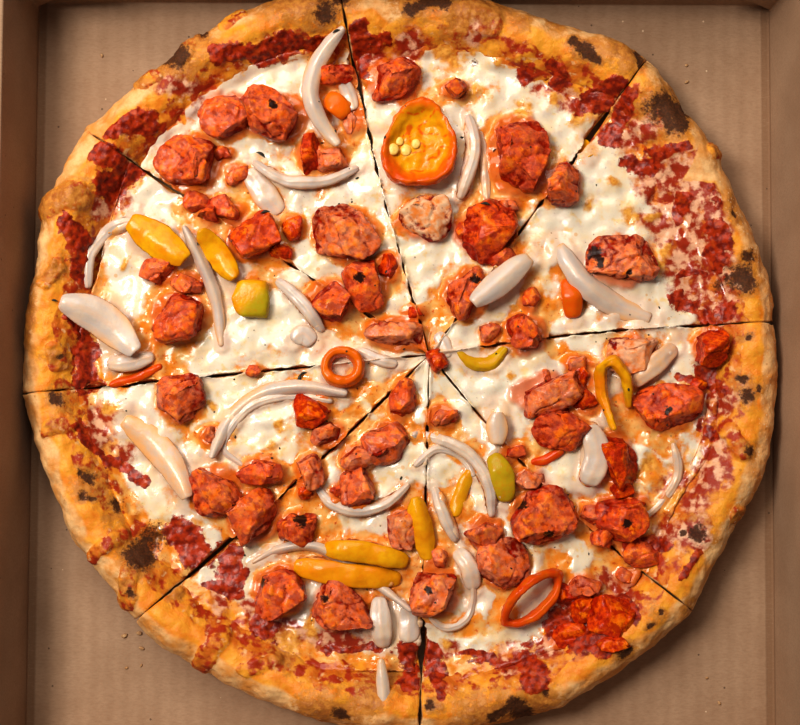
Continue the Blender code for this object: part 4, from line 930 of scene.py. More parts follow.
def pepper_finish(top):
    """Cooked sweet pepper: glossy, from yellow through orange to red, with green where it is unripe."""
    f = Finish("sweet_pepper")
    cloud = f.noise(7, 3)
    base = f.mix(f.step(cloud, 0.35, 0.7), tuple(top.pepper), PEPPER_DEEP)
    base = f.mix(f.step(f.mask("tint"), 0.2, 0.6), base, PEPPER_ORANGE)
    base = f.mix(f.step(f.mask("tint"), 0.6, 1.0), base, tuple(top.pepper_red))
    base = f.mix(f.mask("green"), base, PEPPER_GREEN)
    base = f.mix(f.step(f.noise(2.4, 3), 0.45, 0.75, 0.0, 0.4), base, PEPPER_SHADE)
    f.set(Base_Color=base, Roughness=0.22, Subsurface_Weight=0.08, Specular_IOR_Level=0.20)
    f.scatter((3.0, 1.5, 0.3))
    f.bump(f.noise(3.0, 3), 0.20)
    return f.material


def plain_finish(name, first, second, size, rough):
    """A two-tone finish for the smallest pieces."""
    f = Finish(name)
    f.set(Base_Color=f.mix(f.step(f.noise(size, 3), 0.35, 0.65), first, second), Roughness=rough)
    f.bump(f.noise(size / 2, 3), 0.15)
    return f.material


def finish_of(name, build):
    """The material of that name, built the first time it is asked for."""
    return bpy.data.materials.get(name) or build()


# Operators

class PieceOperator(bpy.types.Operator):
    """Base of the operators that build pieces."""
    bl_options = {"REGISTER", "UNDO"}

    def execute(self, context):
        self.build(context)
        return {"FINISHED"}


class PIZZA_OT_box(PieceOperator):
    """Folded tray and lid of corrugated board, with rounded folds and crushed creases"""
    bl_idname = "pizza.box"
    bl_label = "Box"

    def build(self, context):
        box = context.scene.pizza_box
        board = finish_of("kraft_board", lambda: board_finish(box))
        for node in ("tray", "lid"):
            work = merged_copy(node)
            bmesh.ops.dissolve_limit(work, angle_limit=FLAT_ANGLE, verts=work.verts, edges=work.edges)
            sharp = [e for e in work.edges if len(e.link_faces) == 2 and e.calc_face_angle() > FOLD_ANGLE]
            bmesh.ops.bevel(work, geom=sharp, offset=box.fold_radius / MM, affect="EDGES", segments=3, profile=0.5,
                            material=-1, clamp_overlap=True)
            bmesh.ops.triangulate(work, faces=work.faces)
            mesh, places, _ = arrays(work)
            piece(mesh, places, f"board_{node}", board, None, (node,), body=node, smooth=False)


class PIZZA_OT_crust(PieceOperator):
    """Eight dough slices with a bumpy, browned rim"""
    bl_idname = "pizza.crust"
    bl_label = "Crust"

    def build(self, context):
        crust = context.scene.pizza_crust
        baked = finish_of("baked_crust", lambda: crust_finish(crust))
        for k in SLICES:
            self.slice(k, crust, baked)

    def slice(self, k, crust, baked):
        work = merged_copy(f"dough_{k}")
        join_quads(work)
        crease_sharp(work, 0.55)
        work = rounded(work, 2)
        refine(work, crust.edge / MM, lambda p: (inward_of(p) < RIM_DETAIL) & (p[:, 2] > DOUGH_UNDER + 0.1))
        mesh, places, normals = arrays(work)
        inward = inward_of(places)
        spots = wander(places)
        relief = crust.relief / MM
        bumps = 0.9 * noise_of(places, 14, 1) + 0.6 * noise_of(places, 6, 2) + 0.3 * noise_of(places, 2.4, 3)
        raised = relief * bumps
        for x, y, radius, height in BLISTERS:
            raised += height * smooth_step(field(places, ((x, y, radius),)), 0.1, 0.9)
        drip = field(wander(places, 1.2), DRIPS)
        sauce = field(spots, SAUCE) * smooth_step(inward, 6, 11)
        char = field(wander(places, 1.6), [(*mark[:-1], 1.2 * mark[-1]) for mark in CHAR])
        raised += (1.2 + 0.5 * noise_of(places, 2.6, 6)) * smooth_step(drip, 0.35, 0.6)
        raised += (0.4 + 0.9 * noise_of(places, 2.6, 7)) * smooth_step(sauce, 0.40, 0.62)
        raised -= 0.4 * smooth_step(char, 0.4, 0.8)
        film = smooth_step(inward + 3.5 * noise_of(places, 8, 5) + 1.5 * noise_of(places, 3, 8), 12.5, 18.5)
        raised += 0.3 * film * noise_of(places, 4.0, 9)
        free = smooth_step(places[:, 2], DOUGH_UNDER, DOUGH_UNDER + 2.0)
        places = places + normals * (raised * free * smooth_step(inward, RIM_DETAIL, 20))[:, None]
        gate = CRUST_CLOSING * smooth_step(places[:, 2], 8, 12) * (inward > 3)
        places[:, :2] += closing(places)[:, :2] * gate[:, None]
        places[:, 2] = np.maximum(places[:, 2], DOUGH_UNDER)
        limit = WALL_INNER + WALL_LEAN * (places[:, 2] - FLOOR) - WALL_CLEARANCE
        for axis in (0, 1):
            places[:, axis] = np.clip(places[:, axis], -limit, limit)
        wall = (np.abs(normals[:, 2]) < 0.45) & (inward > 2.5)
        halo = field(wander(places, 2.5), [(*mark[:-1], 1.7 * mark[-1]) for mark in CHAR])
        masks = {
            "inner": smooth_step(inward + 3.0 * noise_of(places, 11, 5), 4.0, 12.0),
            "film": np.maximum(film, smooth_step(drip, 0.25, 0.55)),
            "brown": np.maximum(field(spots, BROWN), 1.25 * halo),
            "char": char,
            "sauce": sauce,
            "mottle": field(spots, MOTTLE) * smooth_step(inward, 5, 10),
            "under": smooth_step(places[:, 2], 15, 5) * smooth_step(inward, 8, 2),
            "crumb": wall.astype(float),
            "flour": smooth_step(inward, 11, 2) * smooth_step(places[:, 0], 60, 130) * (np.abs(places[:, 1]) < 75),
        }
        piece(mesh, places, f"crust_slice_{k}", baked, masks, (f"dough_{k}",))


def topping_footprints():
    """Middle and half sizes of what lies on the cheese, in millimetres."""
    found = []
    for name in frame["nodes"]:
        if name.startswith("chicken"):
            low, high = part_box(name)
            middle, half = (low + high) / 2 / MM, (high - low) / 2 / MM
            found.append((middle.x, middle.y, half.x * 0.92, half.y * 0.92))
    for x, y, width, depth, *_ in BITS + MORE_BITS:
        found.append((x, y, width * 0.46, depth * 0.46))
    return found


def strip_marks():
    """Every stretch of the onion and pepper strips, as marks."""
    rows = [(width, path) for width, *path in ONION_PATHS.values()] + [(row[1], row[5:]) for row in STRIPS]
    rows += [(width, path) for width, *path in PEPPER_PATHS]
    return [(*a, *b, 0.42 * width) for width, path in rows for a, b in zip(path, path[1:])]


def closing(places):
    """Sideways shift that draws the melted sides of each cut together, and nearness to the closed cuts."""
    offset = places[:, :2] - CROSSING
    shift = np.zeros((len(places), 3))
    for degrees, widest, bow, closed in CUTS:
        turn = math.radians(degrees)
        radius = RIM[int(degrees / 360 * RIM_BINS) % RIM_BINS]
        reach = np.array(MIDDLE) + (radius * math.cos(turn), radius * math.sin(turn)) - CROSSING
        span = np.hypot(*reach)
        along = reach / span
        normal = np.array((-along[1], along[0]))
        out = np.clip(offset @ along / span, 0, 1)
        aside = offset @ normal - bow * np.sin(np.pi * out)
        swell = np.sin(np.pi * np.clip((out - CUT_SWELL_FROM) / (1 - CUT_SWELL_FROM), 0, 1)) ** 2
        half = 0.5 * (CUT_NARROW + (widest - CUT_NARROW) * swell) + CUT_MARGIN
        pull = np.minimum(closed * half * smooth_step(np.abs(aside), 6, 1.8), np.abs(aside) + CUT_OVERLAP) * (out > 0)
        shift[:, :2] -= np.outer(np.sign(aside) * pull, normal)
        shift[:, 2] = np.maximum(shift[:, 2], closed * smooth_step(np.abs(aside), 2.4, 0.9) * (out > 0))
    return shift


def gap_to(places, footprints):
    """Distance from each place to the nearest footprint, negative inside it."""
    nearest = np.full(len(places), FAR_OFF)
    for x, y, half_x, half_y in footprints:
        reach = np.hypot((places[:, 0] - x) / half_x, (places[:, 1] - y) / half_y)
        nearest = np.minimum(nearest, (reach - 1) * min(half_x, half_y))
    return nearest


class PIZZA_OT_cheese(PieceOperator):
    """Eight sheets of melted cheese that creep up round the toppings"""
    bl_idname = "pizza.cheese"
    bl_label = "Cheese"

    def build(self, context):
        cheese = context.scene.pizza_cheese
        melted = finish_of("melted_cheese", lambda: cheese_finish(cheese))
        for k in SLICES:
            self.sheet(k, cheese, melted)

    def level(self, places):
        """Highest that the bare cheese stands at each place."""
        return np.interp(inward_of(places), (14, 17, 20, 25, 30), (26.5, 25.5, 22.5, 20.2, 19.2))

    def sheet(self, k, cheese, melted):
        work = merged_copy(f"cheese_{k}")
        places = coordinates(work)
        high = places[:, 2] > self.level(places)
        lump = {v for v, is_high in zip(work.verts, high) if is_high}
        lump |= {e.other_vert(v) for v in lump for e in v.link_edges if e.other_vert(v).co.z > CHEESE_LEVEL - 0.5}
        soften(work, 50, lambda v: v in lump, 0.9)
        refine(work, 3.2)
        soften(work, 3, lambda v: v.co.z > CHEESE_LEVEL - 4.5)
        refine(work, cheese.edge / MM, lambda p: p[:, 2] > CHEESE_LEVEL - 5.0)
        soften(work, 2, lambda v: v.co.z > CHEESE_LEVEL - 5.0)
        mesh, places, normals = arrays(work)
        up = np.clip(normals[:, 2], 0, 1)
        inward = inward_of(places)
        spots = wander(places)
        near = gap_to(wander(places, 1.6), topping_footprints())
        sauce = field(spots, SAUCE)
        mottle = field(spots, MOTTLE)
        browned = field(spots, BROWNED)
        film = smooth_step(inward + 4.0 * noise_of(places, 9, 15) + 2.0 * noise_of(places, 3.4, 16), 28, 21)
        white = 0.72 + 0.32 * noise_of(places, 14, 31) + 0.25 * noise_of(places, 6, 32)
        white -= 0.60 * smooth_step(near, 4.2, 0.2)
        white = np.maximum(white - 0.8 * smooth_step(inward, 34, 24), 1.1 * field(spots, WHITE))
        white -= 0.9 * field(spots, STAIN)
        white *= smooth_step(inward + 3.5 * noise_of(places, 8, 20) + 2.0 * noise_of(places, 3.2, 22), 19.0, 26.0)
        pool = smooth_step(white, 0.42, 0.66)
        relief = cheese.relief / MM
        raised = relief * (1.5 * noise_of(places, 10, 11) + 0.9 * noise_of(places, 5, 12))
        raised += (0.25 + 0.40 * smooth_step(inward, 24, 34)) * pool
        raised += (1.0 - pool) * (0.4 * noise_of(places, 2.6, 14) + 0.15 * noise_of(places, 1.5, 17))
        raised += 0.5 * smooth_step(browned, 0.3, 0.7)
        raised += (0.7 * noise_of(places, 2.4, 18) - 0.1) * smooth_step(sauce, 0.40, 0.60)
        raised += 1.8 * smooth_step(near, 2.4, 0.0)
        raised *= smooth_step(inward, 18.0, 25.0)
        strips = field(places, strip_marks())
        raised += 0.7 * smooth_step(strips, 0.34, 0.60)
        places = places + normals * (raised * (0.2 + 0.8 * up))[:, None]
        places[:, 2] -= 3.0 * smooth_step(inward, 25.0, 18.5)
        to_centre = np.array(CROSSING) - places[:, :2]
        gap = np.hypot(to_centre[:, 0], to_centre[:, 1])
        pull = TIP_PULL * smooth_step(gap, 15.0, TIP_RADIUS) / gap
        places[:, :2] += to_centre * pull[:, None]
        gate = smooth_step(places[:, 2], CHEESE_LEVEL - 4, CHEESE_LEVEL - 2)
        shift = closing(places) * gate[:, None]
        places[:, :2] += shift[:, :2]
        seam = CHEESE_LEVEL + 0.4 + 0.5 * noise_of(places, 5, 12)
        places[:, 2] += shift[:, 2] * smooth_step(inward, 20, 26) * np.clip(seam - places[:, 2], 0, 2.2)
        masks = {
            "sauce": sauce, "mottle": mottle, "browned": browned, "white": white, "film": film,
            "char": field(places, CHAR) * smooth_step(inward, 40, 26),
            # Nearness to toppings and strips, for the oil stain and the painted contact shade
            "oil": np.maximum(smooth_step(near, 2.6, 0.0), 0.22 * smooth_step(strips, 0.10, 0.40)),
            "side": (np.abs(normals[:, 2]) < 0.5) * (places[:, 2] < CHEESE_LEVEL - 1.2) * (inward > 19),
        }
        piece(mesh, places, f"cheese_sheet_{k}", melted, masks, (f"cheese_{k}",))


class CheeseGround:
    """Heights of the finished cheese and crust, for laying small pieces on them."""

    def __init__(self, prefixes=("cheese_sheet", "crust_slice")):
        verts, faces = [], []
        for made in bpy.data.objects:
            if made.name.startswith(prefixes):
                mesh = made.data
                mesh.calc_loop_triangles()
                places = np.empty(3 * len(mesh.vertices), np.float32)
                corners = np.empty(3 * len(mesh.loop_triangles), np.int32)
                mesh.vertices.foreach_get("co", places)
                mesh.loop_triangles.foreach_get("vertices", corners)
                faces += (corners.reshape(-1, 3) + len(verts)).tolist()
                verts += (places.reshape(-1, 3) / MM).tolist()
        self.tree = BVHTree.FromPolygons(verts, faces, all_triangles=True)

    def height(self, x, y):
        hit = self.tree.ray_cast(Vector((x, y, ABOVE_ALL)), Vector((0, 0, -1)))[0]
        return hit.z if hit is not None else DOUGH_UNDER


def faceted(places, seed):
    """Cuts flat facets into the top and sides of a lump, like torn dice."""
    draw = np.random.default_rng(int(10 * seed) + 3)
    low, high = places.min(axis=0), places.max(axis=0)
    middle, half = (low + high) / 2, (high - low) / 2
    spots = (places - middle) / half * 1.16
    for _ in range(FACETS):
        way = draw.normal(size=3)
        way /= np.linalg.norm(way)
        way[2] = abs(way[2])
        reach = spots @ way
        spots -= way * np.maximum(reach - draw.uniform(0.54, 0.82) * reach.max(), 0)[:, None]
    return middle + spots * half


def normals_at(mesh, places):
    """Vertex normals of the mesh with its vertices at the given places."""
    mesh.vertices.foreach_set("co", places.ravel())
    mesh.update()
    normals = np.empty(3 * len(places), np.float32)
    mesh.vertex_normals.foreach_get("vector", normals)
    return normals.reshape(-1, 3).astype(float)


def torn(places, normals, depth, seed):
    """Tears a chunk's surface into lumps and fibres; also gives how raised and how high each place is, 0 to 1."""
    lumps = noise_of(places, 8.0, seed)
    groove = smooth_step(np.abs(noise_of(places, 10.0, seed + 4)), 0.13, 0.0)
    fibres = noise_of(places, 2.2, seed + 8) + 0.5 * noise_of(places, 1.2, seed + 9)
    moved = depth * (0.8 * lumps - 0.6 * groove + 0.24 * fibres)
    height = (places[:, 2] - places[:, 2].min()) / np.ptp(places[:, 2])
    # Low in grooves and on the lower part, for painted shade; high on lumps and near the top, for painted highlight.
    crag = 0.38 + 0.26 * lumps - 0.22 * groove + 0.20 * fibres + 0.38 * smooth_step(height, 0.25, 0.9)
    return places + normals * moved[:, None], np.clip(crag, 0, 1)


def finish_chunk(work, name, looks, depth, seed, material, replaces=()):
    mesh, places, _ = arrays(work)
    places = faceted(places, seed)
    places, crag = torn(places, normals_at(mesh, places), depth, seed)
    pale, red = looks
    count = len(places)
    masks = {"crag": crag, "char": field(wander(places, 1.2), CHICKEN_CHAR), "pale": np.full(count, pale),
             "red": np.full(count, red)}
    piece(mesh, places, name, material, masks, replaces)


class PIZZA_OT_chicken(PieceOperator):
    """Chicken chunks, one for each chicken node"""
    bl_idname = "pizza.chicken"
    bl_label = "Chicken"

    def build(self, context):
        top = context.scene.pizza_topping
        spiced = finish_of("spiced_chicken", lambda: chicken_finish(top))
        names = sorted(n for n in frame["nodes"] if n.startswith("chicken"))
        for number, node in enumerate(names):
            work = merged_copy(node)
            refine(work, 2.4)
            soften(work, 2)
            refine(work, 1.0)
            looks = CHICKEN_LOOKS.get(node, (0.15, 0.35))
            name = node.replace("chicken", "chunk")
            finish_chunk(work, name, looks, top.crag / MM, number * 2.3, spiced, (node,))


class PIZZA_OT_bits(PieceOperator):
    """Small chicken bits sunk in the cheese"""
    bl_idname = "pizza.bits"
    bl_label = "Small bits"

    def build(self, context):
        top = context.scene.pizza_topping
        spiced = finish_of("spiced_chicken", lambda: chicken_finish(top))
        ground = CheeseGround()
        for number, (*place, pale, red) in enumerate(BITS + MORE_BITS):
            work = chunk(*place, ground, number)
            depth = 0.75 * top.crag / MM
            finish_chunk(work, f"bit_{number + 1:02d}", (pale, red), depth, number * 1.7 + 40, spiced)


def chunk(x, y, width, depth, height, turn, ground, seed):
    """An angular uneven chunk that sits in the cheese at a place."""
    work = bmesh.new()
    bmesh.ops.create_icosphere(work, subdivisions=2, radius=1.0)
    places = coordinates(work)
    swell = 1.08 + 0.30 * noise_of(places, 0.8, seed * 3.1)
    boxy = np.sign(places) * np.abs(places) ** 0.62 * swell[:, None]
    base = ground.height(x, y)
    c, s = math.cos(math.radians(turn)), math.sin(math.radians(turn))
    px, py = boxy[:, 0] * width / 2, boxy[:, 1] * depth / 2
    lift = (0.5 + 0.5 * boxy[:, 2]) * (height + 1.5)
    put_places(work, np.column_stack((x + px * c - py * s, y + px * s + py * c, base - 2.0 + lift)))
    refine(work, 2.0)
    soften(work, 2)
    refine(work, 0.9)
    return work


def curve_through(path, step):
    """Places about a step apart on a smooth curve through the points."""
    nodes = [Vector(p) for p in path]
    places = []
    for k in range(len(nodes) - 1):
        p0, p1 = nodes[max(0, k - 1)], nodes[k]
        p2, p3 = nodes[k + 1], nodes[min(len(nodes) - 1, k + 2)]
        count = max(1, round((p2 - p1).length / step))
        for i in range(count):
            t = i / count
            cubic = (3 * (p1 - p2) + p3 - p0) * t + 2 * p0 - 5 * p1 + 4 * p2 - p3
            places.append(p1 + 0.5 * t * ((p2 - p0) + t * cubic))
    return places + [nodes[-1]]


def ribbon(path, width, thick, ground, seed):
    """A crowned strip with tapered ends that lies over the ground along a path."""
    line = curve_through(path, 1.2)
    work = bmesh.new()
    bmesh.ops.create_grid(work, x_segments=len(line) - 1, y_segments=8, size=1.0)
    places = coordinates(work)
    along = np.rint((places[:, 0] * 0.5 + 0.5) * (len(line) - 1)).astype(int)
    heights = [ground.height(p.x, p.y) for p in line]
    heights = np.convolve(np.pad(heights, 3, mode="edge"), np.full(7, 1 / 7), mode="valid")
    part = along / (len(line) - 1)
    uneven = 1 + 0.15 * noise_of(np.column_stack((part * len(line) * 1.2, 0 * part, 0 * part)), 9, seed)
    taper = (0.30 + 0.70 * np.sin(np.pi * np.clip(part, 0, 1)) ** 0.45) * uneven
    v = places[:, 1]
    ahead = [(line[min(len(line) - 1, k + 1)] - line[max(0, k - 1)]).normalized() for k in range(len(line))]
    sides = np.array([(-a.y, a.x) for a in ahead])[along]
    spots = np.array([tuple(p) for p in line])[along] + sides * (v * taper * width / 2)[:, None]
    crown = thick * (0.5 + 0.5 * np.clip(taper, 0, 1)) * (1 - 0.68 * v * v)
    sink = 1.2 + 0.6 * noise_of(np.column_stack((spots, 0 * part)), 8, seed + 7)
    put_places(work, np.column_stack((spots, heights[along] + crown - sink)))
    bmesh.ops.solidify(work, geom=work.faces[:], thickness=-thick * 0.75)
    bmesh.ops.recalc_face_normals(work, faces=work.faces)
    return rounded(work, 1)


def across_of(places, path, width):
    """Where each place lies across a strip: -1 and 1 at its edges, 0 in its middle."""
    line = np.array([tuple(p) for p in curve_through(path, 1.0)])
    ahead = np.gradient(line, axis=0)
    gaps = places[:, None, :2] - line[None, :, :]
    pick = np.argmin((gaps ** 2).sum(axis=2), axis=1)
    gap, way = gaps[np.arange(len(places)), pick], ahead[pick]
    return (gap[:, 1] * way[:, 0] - gap[:, 0] * way[:, 1]) / np.hypot(way[:, 0], way[:, 1]) / (width / 2)


def settled(places, across):
    """Lowers a strip until it lies like a thin leaf, highest along its middle."""
    foot = places[:, 2].min()
    kept = FLATTER * (1 - THINNING * np.clip(across, -1, 1) ** 2)
    places[:, 2] = foot + (places[:, 2] - foot) * kept
    return places


class PIZZA_OT_onion(PieceOperator):
    """Onion petals and strips of the onion nodes"""
    bl_idname = "pizza.onion"
    bl_label = "Onion"

    def build(self, context):
        top = context.scene.pizza_topping
        soft = finish_of("soft_onion", lambda: onion_finish(top))
        for number, (node, (width, *path)) in enumerate(sorted(ONION_PATHS.items())):
            work = merged_copy(node)
            join_quads(work)
            crease_sharp(work, 0.35)
            work = rounded(work, 2)
            refine(work, 1.1)
            mesh, places, normals = arrays(work)
            across = across_of(places, path, width)
            moved = 0.35 * noise_of(places, 7, number) - 0.07 * np.cos(across * 11) * (normals[:, 2] > 0.2)
            foot = places[:, 2].min()
            places = settled(places + normals * moved[:, None], across)
            low = smooth_step(places[:, 2], foot + 2.2, foot + 0.4)
            masks = {"tinge": ONION_TINGE.get(node, 0.15) + 0.3 * low, "low": low, "across": across}
            piece(mesh, places, node.replace("onion", "onion_petal"), soft, masks, (node,))


class PIZZA_OT_pepper(PieceOperator):
    """Pepper strips, rings and the cut pepper end of the pepper nodes"""
    bl_idname = "pizza.pepper"
    bl_label = "Pepper"

    def build(self, context):
        top = context.scene.pizza_topping
        sweet = finish_of("sweet_pepper", lambda: pepper_finish(top))
        for number, (node, (tint, green)) in enumerate(sorted(PEPPER_TINTS.items())):
            work = merged_copy(node)
            join_quads(work)
            crease_sharp(work, 0.4)
            work = rounded(work, 2)
            refine(work, 1.1)
            mesh, places, normals = arrays(work)
            moved = 0.55 * noise_of(places, 7, number) + 0.3 * noise_of(places, 3, number + 5)
            tints = tint + 0.15 * noise_of(places, 9, number)
            greens = np.full(len(places), green)
            if node == "pepper_cup":
                tints = self.cup_tints(node, places)
                moved *= 1.6
            if node == "pepper_03":
                greens = greens + 0.3 * noise_of(places, 6, 4)
            places = places + normals * moved[:, None]
            if node[-2:].isdigit() and node != "pepper_05":
                width, *path = PEPPER_PATHS[number]
                places = settled(places, across_of(places, path, width))
            masks = {"tint": np.clip(tints, 0, 1), "green": np.clip(greens, 0, 1)}
            piece(mesh, places, node.replace("pepper", "pepper_cut"), sweet, masks, (node,))

    def cup_tints(self, node, places):
        """Red outside, yellow flesh in the hollow."""
        low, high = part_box(node)
        middle = (low + high) / 2 / MM
        half = (high - low) / 2 / MM
        reach = np.hypot((places[:, 0] - middle.x) / half.x, (places[:, 1] - middle.y) / half.y)
        hollow = smooth_step(reach, 0.90, 0.62)
        ribs = np.abs(noise_of(places, 6, 3))
        return 0.80 - 0.52 * hollow + 0.45 * hollow * smooth_step(ribs, 0.10, 0.0) + 0.1 * noise_of(places, 5, 3)


class PIZZA_OT_strips(PieceOperator):
    """Onion and pepper strips sunk in the cheese"""
    bl_idname = "pizza.strips"
    bl_label = "Sunken strips"

    def build(self, context):
        top = context.scene.pizza_topping
        soft = finish_of("soft_onion", lambda: onion_finish(top))
        sweet = finish_of("sweet_pepper", lambda: pepper_finish(top))
        ground = CheeseGround()
        for number, (kind, width, thick, tint, green, *path) in enumerate(STRIPS):
            mesh, places, normals = arrays(ribbon(path, width, FLATTER * thick, ground, number))
            across = across_of(places, path, width)
            places = places + normals * (0.25 * noise_of(places, 4, number))[:, None]
            count = len(places)
            if kind == "onion":
                low = smooth_step(np.abs(across), 0.75, 1.05)
                masks = {"tinge": tint + 0.3 * low, "low": 0.5 * low, "across": across}
                piece(mesh, places, f"onion_strip_{number + 1:02d}", soft, masks)
            else:
                masks = {"tint": np.full(count, tint), "green": np.full(count, green)}
                piece(mesh, places, f"pepper_strip_{number + 1:02d}", sweet, masks)
        mesh, places, normals = arrays(chunk(*PEPPER_NUB, ground, 77))
        middle = PEPPER_NUB[0] - PEPPER_NUB[1]
        green = smooth_step(places[:, 0] - places[:, 1], middle - 2, middle + 5)
        masks = {"tint": np.full(len(places), 0.05), "green": green}
        piece(mesh, places, "pepper_nub", sweet, masks)


class PIZZA_OT_seasoning(PieceOperator):
    """Herb flakes, pepper seeds and crumbs on the board"""
    bl_idname = "pizza.seasoning"
    bl_label = "Herbs, seeds and crumbs"

    def build(self, context):
        top = context.scene.pizza_topping
        ground = CheeseGround(("cheese_sheet", "crust_slice", "chunk", "onion_petal", "pepper_cut", "bit_"))
        draw = random.Random(5)
        leaf = plain_finish("dried_herb", HERB_GREY, HERB_DARK, 1.0, 0.6)
        for number, (x, y, size, turn) in enumerate(HERBS):
            self.flake(f"herb_{number + 1:02d}", x, y, size, turn, ground, leaf)
        self.specks(top.herbs, ground, leaf, draw)
        seed = plain_finish("pepper_seed", SEED_PALE, SEED_GOLD, 1.5, 0.35)
        for number, (x, y, radius) in enumerate(SEEDS):
            work = bmesh.new()
            bmesh.ops.create_icosphere(work, subdivisions=3, radius=radius)
            bmesh.ops.scale(work, vec=(1.0, 1.1, 0.42), verts=work.verts)
            bmesh.ops.translate(work, vec=(x, y, ground.height(x, y) + 0.5), verts=work.verts)
            mesh, places, _ = arrays(work)
            piece(mesh, places, f"seed_{number + 1}", seed)
        crumb = plain_finish("bread_crumb", CRUMB_LIGHT, CRUMB_BROWN, 0.8, 0.8)
        for number, (x, y, radius) in enumerate(FLOOR_CRUMBS):
            self.crumb(f"crumb_{number + 1:02d}", x, y, FLOOR, 0.7 * radius, crumb, draw)

    def flake(self, name, x, y, size, turn, ground, leaf):
        """A thin curled sliver of leaf."""
        work = bmesh.new()
        bmesh.ops.create_grid(work, x_segments=6, y_segments=2, size=0.5)
        height = ground.height(x, y)
        for vert in work.verts:
            part = vert.co.x + 0.5
            vert.co.y *= 0.28 * math.sin(math.pi * min(0.98, max(0.06, part)))
            vert.co.y += 0.12 * math.sin(3 * part)
            vert.co.z = 0.10 * math.sin(math.pi * part)
        bmesh.ops.scale(work, vec=(size, size, size), verts=work.verts)
        bmesh.ops.rotate(work, matrix=Matrix.Rotation(math.radians(turn), 3, "Z"), verts=work.verts)
        bmesh.ops.solidify(work, geom=work.faces[:], thickness=0.25)
        bmesh.ops.recalc_face_normals(work, faces=work.faces)
        bmesh.ops.translate(work, vec=(x, y, height + 0.35), verts=work.verts)
        mesh, places, _ = arrays(work)
        piece(mesh, places, name, leaf)

    def specks(self, count, ground, leaf, draw):
        """Tiny herb specks scattered over the cheese, as one piece."""
        work = bmesh.new()
        for _ in range(count):
            reach, turn = SPECK_REACH * math.sqrt(draw.random()), draw.uniform(0, 2 * math.pi)
            x, y = MIDDLE[0] + reach * math.cos(turn), MIDDLE[1] + reach * math.sin(turn)
            made = bmesh.ops.create_icosphere(work, subdivisions=1, radius=draw.uniform(0.22, 0.5))["verts"]
            bmesh.ops.scale(work, vec=(draw.uniform(0.8, 2.2), 1.0, 0.45), verts=made)
            bmesh.ops.rotate(work, matrix=Matrix.Rotation(draw.uniform(0, 3.1), 3, "Z"), verts=made)
            bmesh.ops.translate(work, vec=(x, y, ground.height(x, y) + 0.1), verts=made)
        mesh, places, _ = arrays(work)
        piece(mesh, places, "herb_specks", leaf)

    def crumb(self, name, x, y, z, radius, material, draw):
        work = bmesh.new()
        bmesh.ops.create_icosphere(work, subdivisions=2, radius=radius)
        places = coordinates(work)
        swell = 1.0 + 0.35 * noise_of(places, 0.9, draw.uniform(0, 50))
        put_places(work, places * swell[:, None] * (1.3, 0.8, 0.6))
        bmesh.ops.rotate(work, matrix=Matrix.Rotation(draw.uniform(0, 3.1), 3, "Z"), verts=work.verts)
        lowest = min(v.co.z for v in work.verts)
        bmesh.ops.translate(work, vec=(x, y, z - lowest), verts=work.verts)
        mesh, places, _ = arrays(work)
        piece(mesh, places, name, material)


# Stage

FOCAL_PIXELS = 1307.0
IMAGE_WIDTH = 800.0
SENSOR = 36.0
CAMERA_AT = (-0.93, -22.8, 542.2)
CAMERA_TILT = math.radians(2.67)
CAMERA_ROLL = math.radians(0.28)
# Deepens the darker tones, as in the photograph
VIEW_GAMMA = 0.82
TABLE_SIZE = 4.0
TABLE_DROP = 0.0003
SURROUND_TINT = (1.0, 0.97, 0.93, 1.0)
LAMP_TINT = (1.0, 0.96, 0.90)
LAMP_AIM = (0.0, 0.0, 0.01)
# Place and width of the window light and of the soft light from above
KEY_LIGHT = (-0.46, 0.20, 0.84), 0.30
SKY_LIGHT = (-0.14, 0.48, 0.62), 0.60


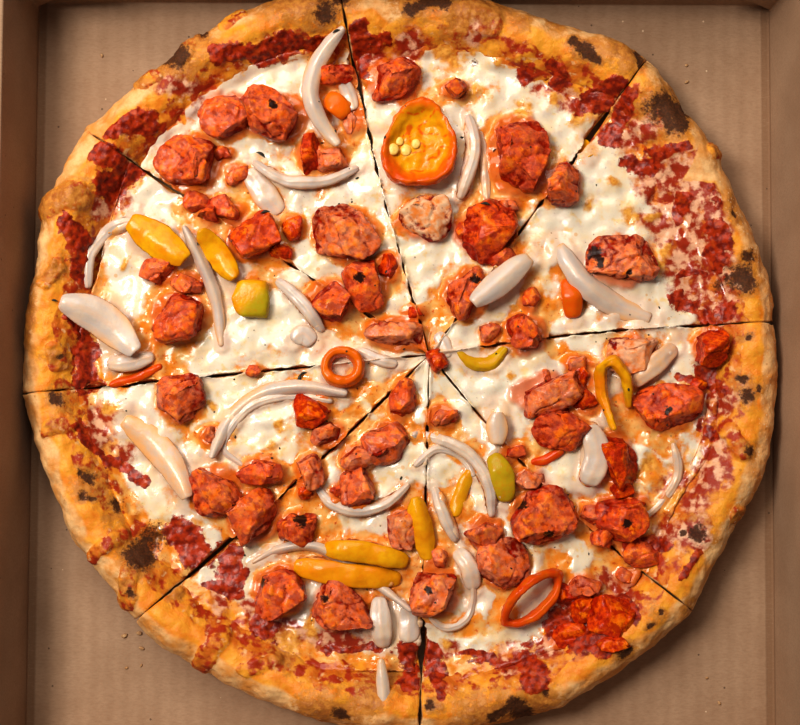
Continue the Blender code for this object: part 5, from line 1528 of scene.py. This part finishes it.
class PIZZA_OT_stage(PieceOperator):
    """Table, soft lights and the camera at the photograph's angle"""
    bl_idname = "pizza.stage"
    bl_label = "Stage"

    def build(self, context):
        light = context.scene.pizza_light
        context.scene.view_settings.view_transform = "Standard"
        context.scene.view_settings.gamma = VIEW_GAMMA
        self.ground(light)
        self.lights(context, light)
        self.camera(context)

    def ground(self, light):
        work = bmesh.new()
        bmesh.ops.create_grid(work, x_segments=1, y_segments=1, size=TABLE_SIZE)
        bmesh.ops.translate(work, vec=(0, 0, -TABLE_DROP), verts=work.verts)
        mesh = bpy.data.meshes.new("table")
        work.to_mesh(mesh)
        work.free()
        f = Finish("table_top")
        paint = f.mix(f.step(f.noise(300, 2), 0.3, 0.7, 0.0, 0.25), tuple(light.ground), TABLE_CLOUD)
        f.set(Base_Color=paint, Roughness=0.6)
        mesh.materials.append(f.material)
        table = bpy.data.objects.new("table", mesh)
        bpy.context.scene.collection.objects.link(table)

    def lights(self, context, light):
        world = bpy.data.worlds.new("soft_surround")
        world.use_nodes = True
        background = world.node_tree.nodes["Background"]
        background.inputs["Color"].default_value = SURROUND_TINT
        background.inputs["Strength"].default_value = light.fill
        context.scene.world = world
        self.area("key", *KEY_LIGHT, light.key_power)
        self.area("sky", *SKY_LIGHT, light.sky_power)

    def area(self, name, place, size, power):
        lamp = bpy.data.lights.new(name, "AREA")
        lamp.shape = "DISK"
        lamp.size = size
        lamp.energy = power
        lamp.color = LAMP_TINT
        holder = bpy.data.objects.new(name, lamp)
        bpy.context.scene.collection.objects.link(holder)
        holder.location = place
        aim = Vector(LAMP_AIM) - Vector(place)
        holder.rotation_euler = aim.to_track_quat("-Z", "Y").to_euler()

    def camera(self, context):
        lens = bpy.data.cameras.new("camera")
        lens.sensor_width = SENSOR
        lens.lens = FOCAL_PIXELS * SENSOR / IMAGE_WIDTH
        holder = bpy.data.objects.new("camera", lens)
        bpy.context.scene.collection.objects.link(holder)
        forward = Vector((0, math.sin(CAMERA_TILT), -math.cos(CAMERA_TILT)))
        upward = Vector((0, math.cos(CAMERA_TILT), math.sin(CAMERA_TILT)))
        across = Vector((1, 0, 0))
        right = across * math.cos(CAMERA_ROLL) + upward * math.sin(CAMERA_ROLL)
        above = upward * math.cos(CAMERA_ROLL) - across * math.sin(CAMERA_ROLL)
        turn = Matrix((right, above, -forward)).transposed().to_4x4()
        holder.matrix_world = Matrix.Translation(Vector(CAMERA_AT) * MM) @ turn
        context.scene.camera = holder


OPERATORS = (PIZZA_OT_box, PIZZA_OT_crust, PIZZA_OT_cheese, PIZZA_OT_chicken, PIZZA_OT_bits, PIZZA_OT_onion,
             PIZZA_OT_pepper, PIZZA_OT_strips, PIZZA_OT_seasoning, PIZZA_OT_stage)
GROUPS = {"pizza_box": BoxSettings, "pizza_crust": CrustSettings, "pizza_cheese": CheeseSettings,
          "pizza_topping": ToppingSettings, "pizza_light": LightSettings}


class PIZZA_PT_panel(bpy.types.Panel):
    """Lists the pieces and their settings"""
    bl_idname = "PIZZA_PT_panel"
    bl_label = "Pizza in its box"
    bl_space_type = "VIEW_3D"
    bl_region_type = "UI"
    bl_category = "Pizza"

    def draw(self, context):
        for operator in OPERATORS:
            self.layout.operator(operator.bl_idname)
        for key, group in GROUPS.items():
            column = self.layout.column(heading=key)
            for name in group.__annotations__:
                column.prop(getattr(context.scene, key), name)


def register():
    for made in (*GROUPS.values(), *OPERATORS, PIZZA_PT_panel):
        bpy.utils.register_class(made)
    for key, group in GROUPS.items():
        setattr(bpy.types.Scene, key, PointerProperty(type=group))


def unregister():
    for key in GROUPS:
        delattr(bpy.types.Scene, key)
    for made in (PIZZA_PT_panel, *reversed(OPERATORS), *reversed(GROUPS.values())):
        bpy.utils.unregister_class(made)


def main():
    register()
    for operator in OPERATORS:
        group, name = operator.bl_idname.split(".")
        getattr(getattr(bpy.ops, group), name)()


if __name__ == "__main__":
    main()
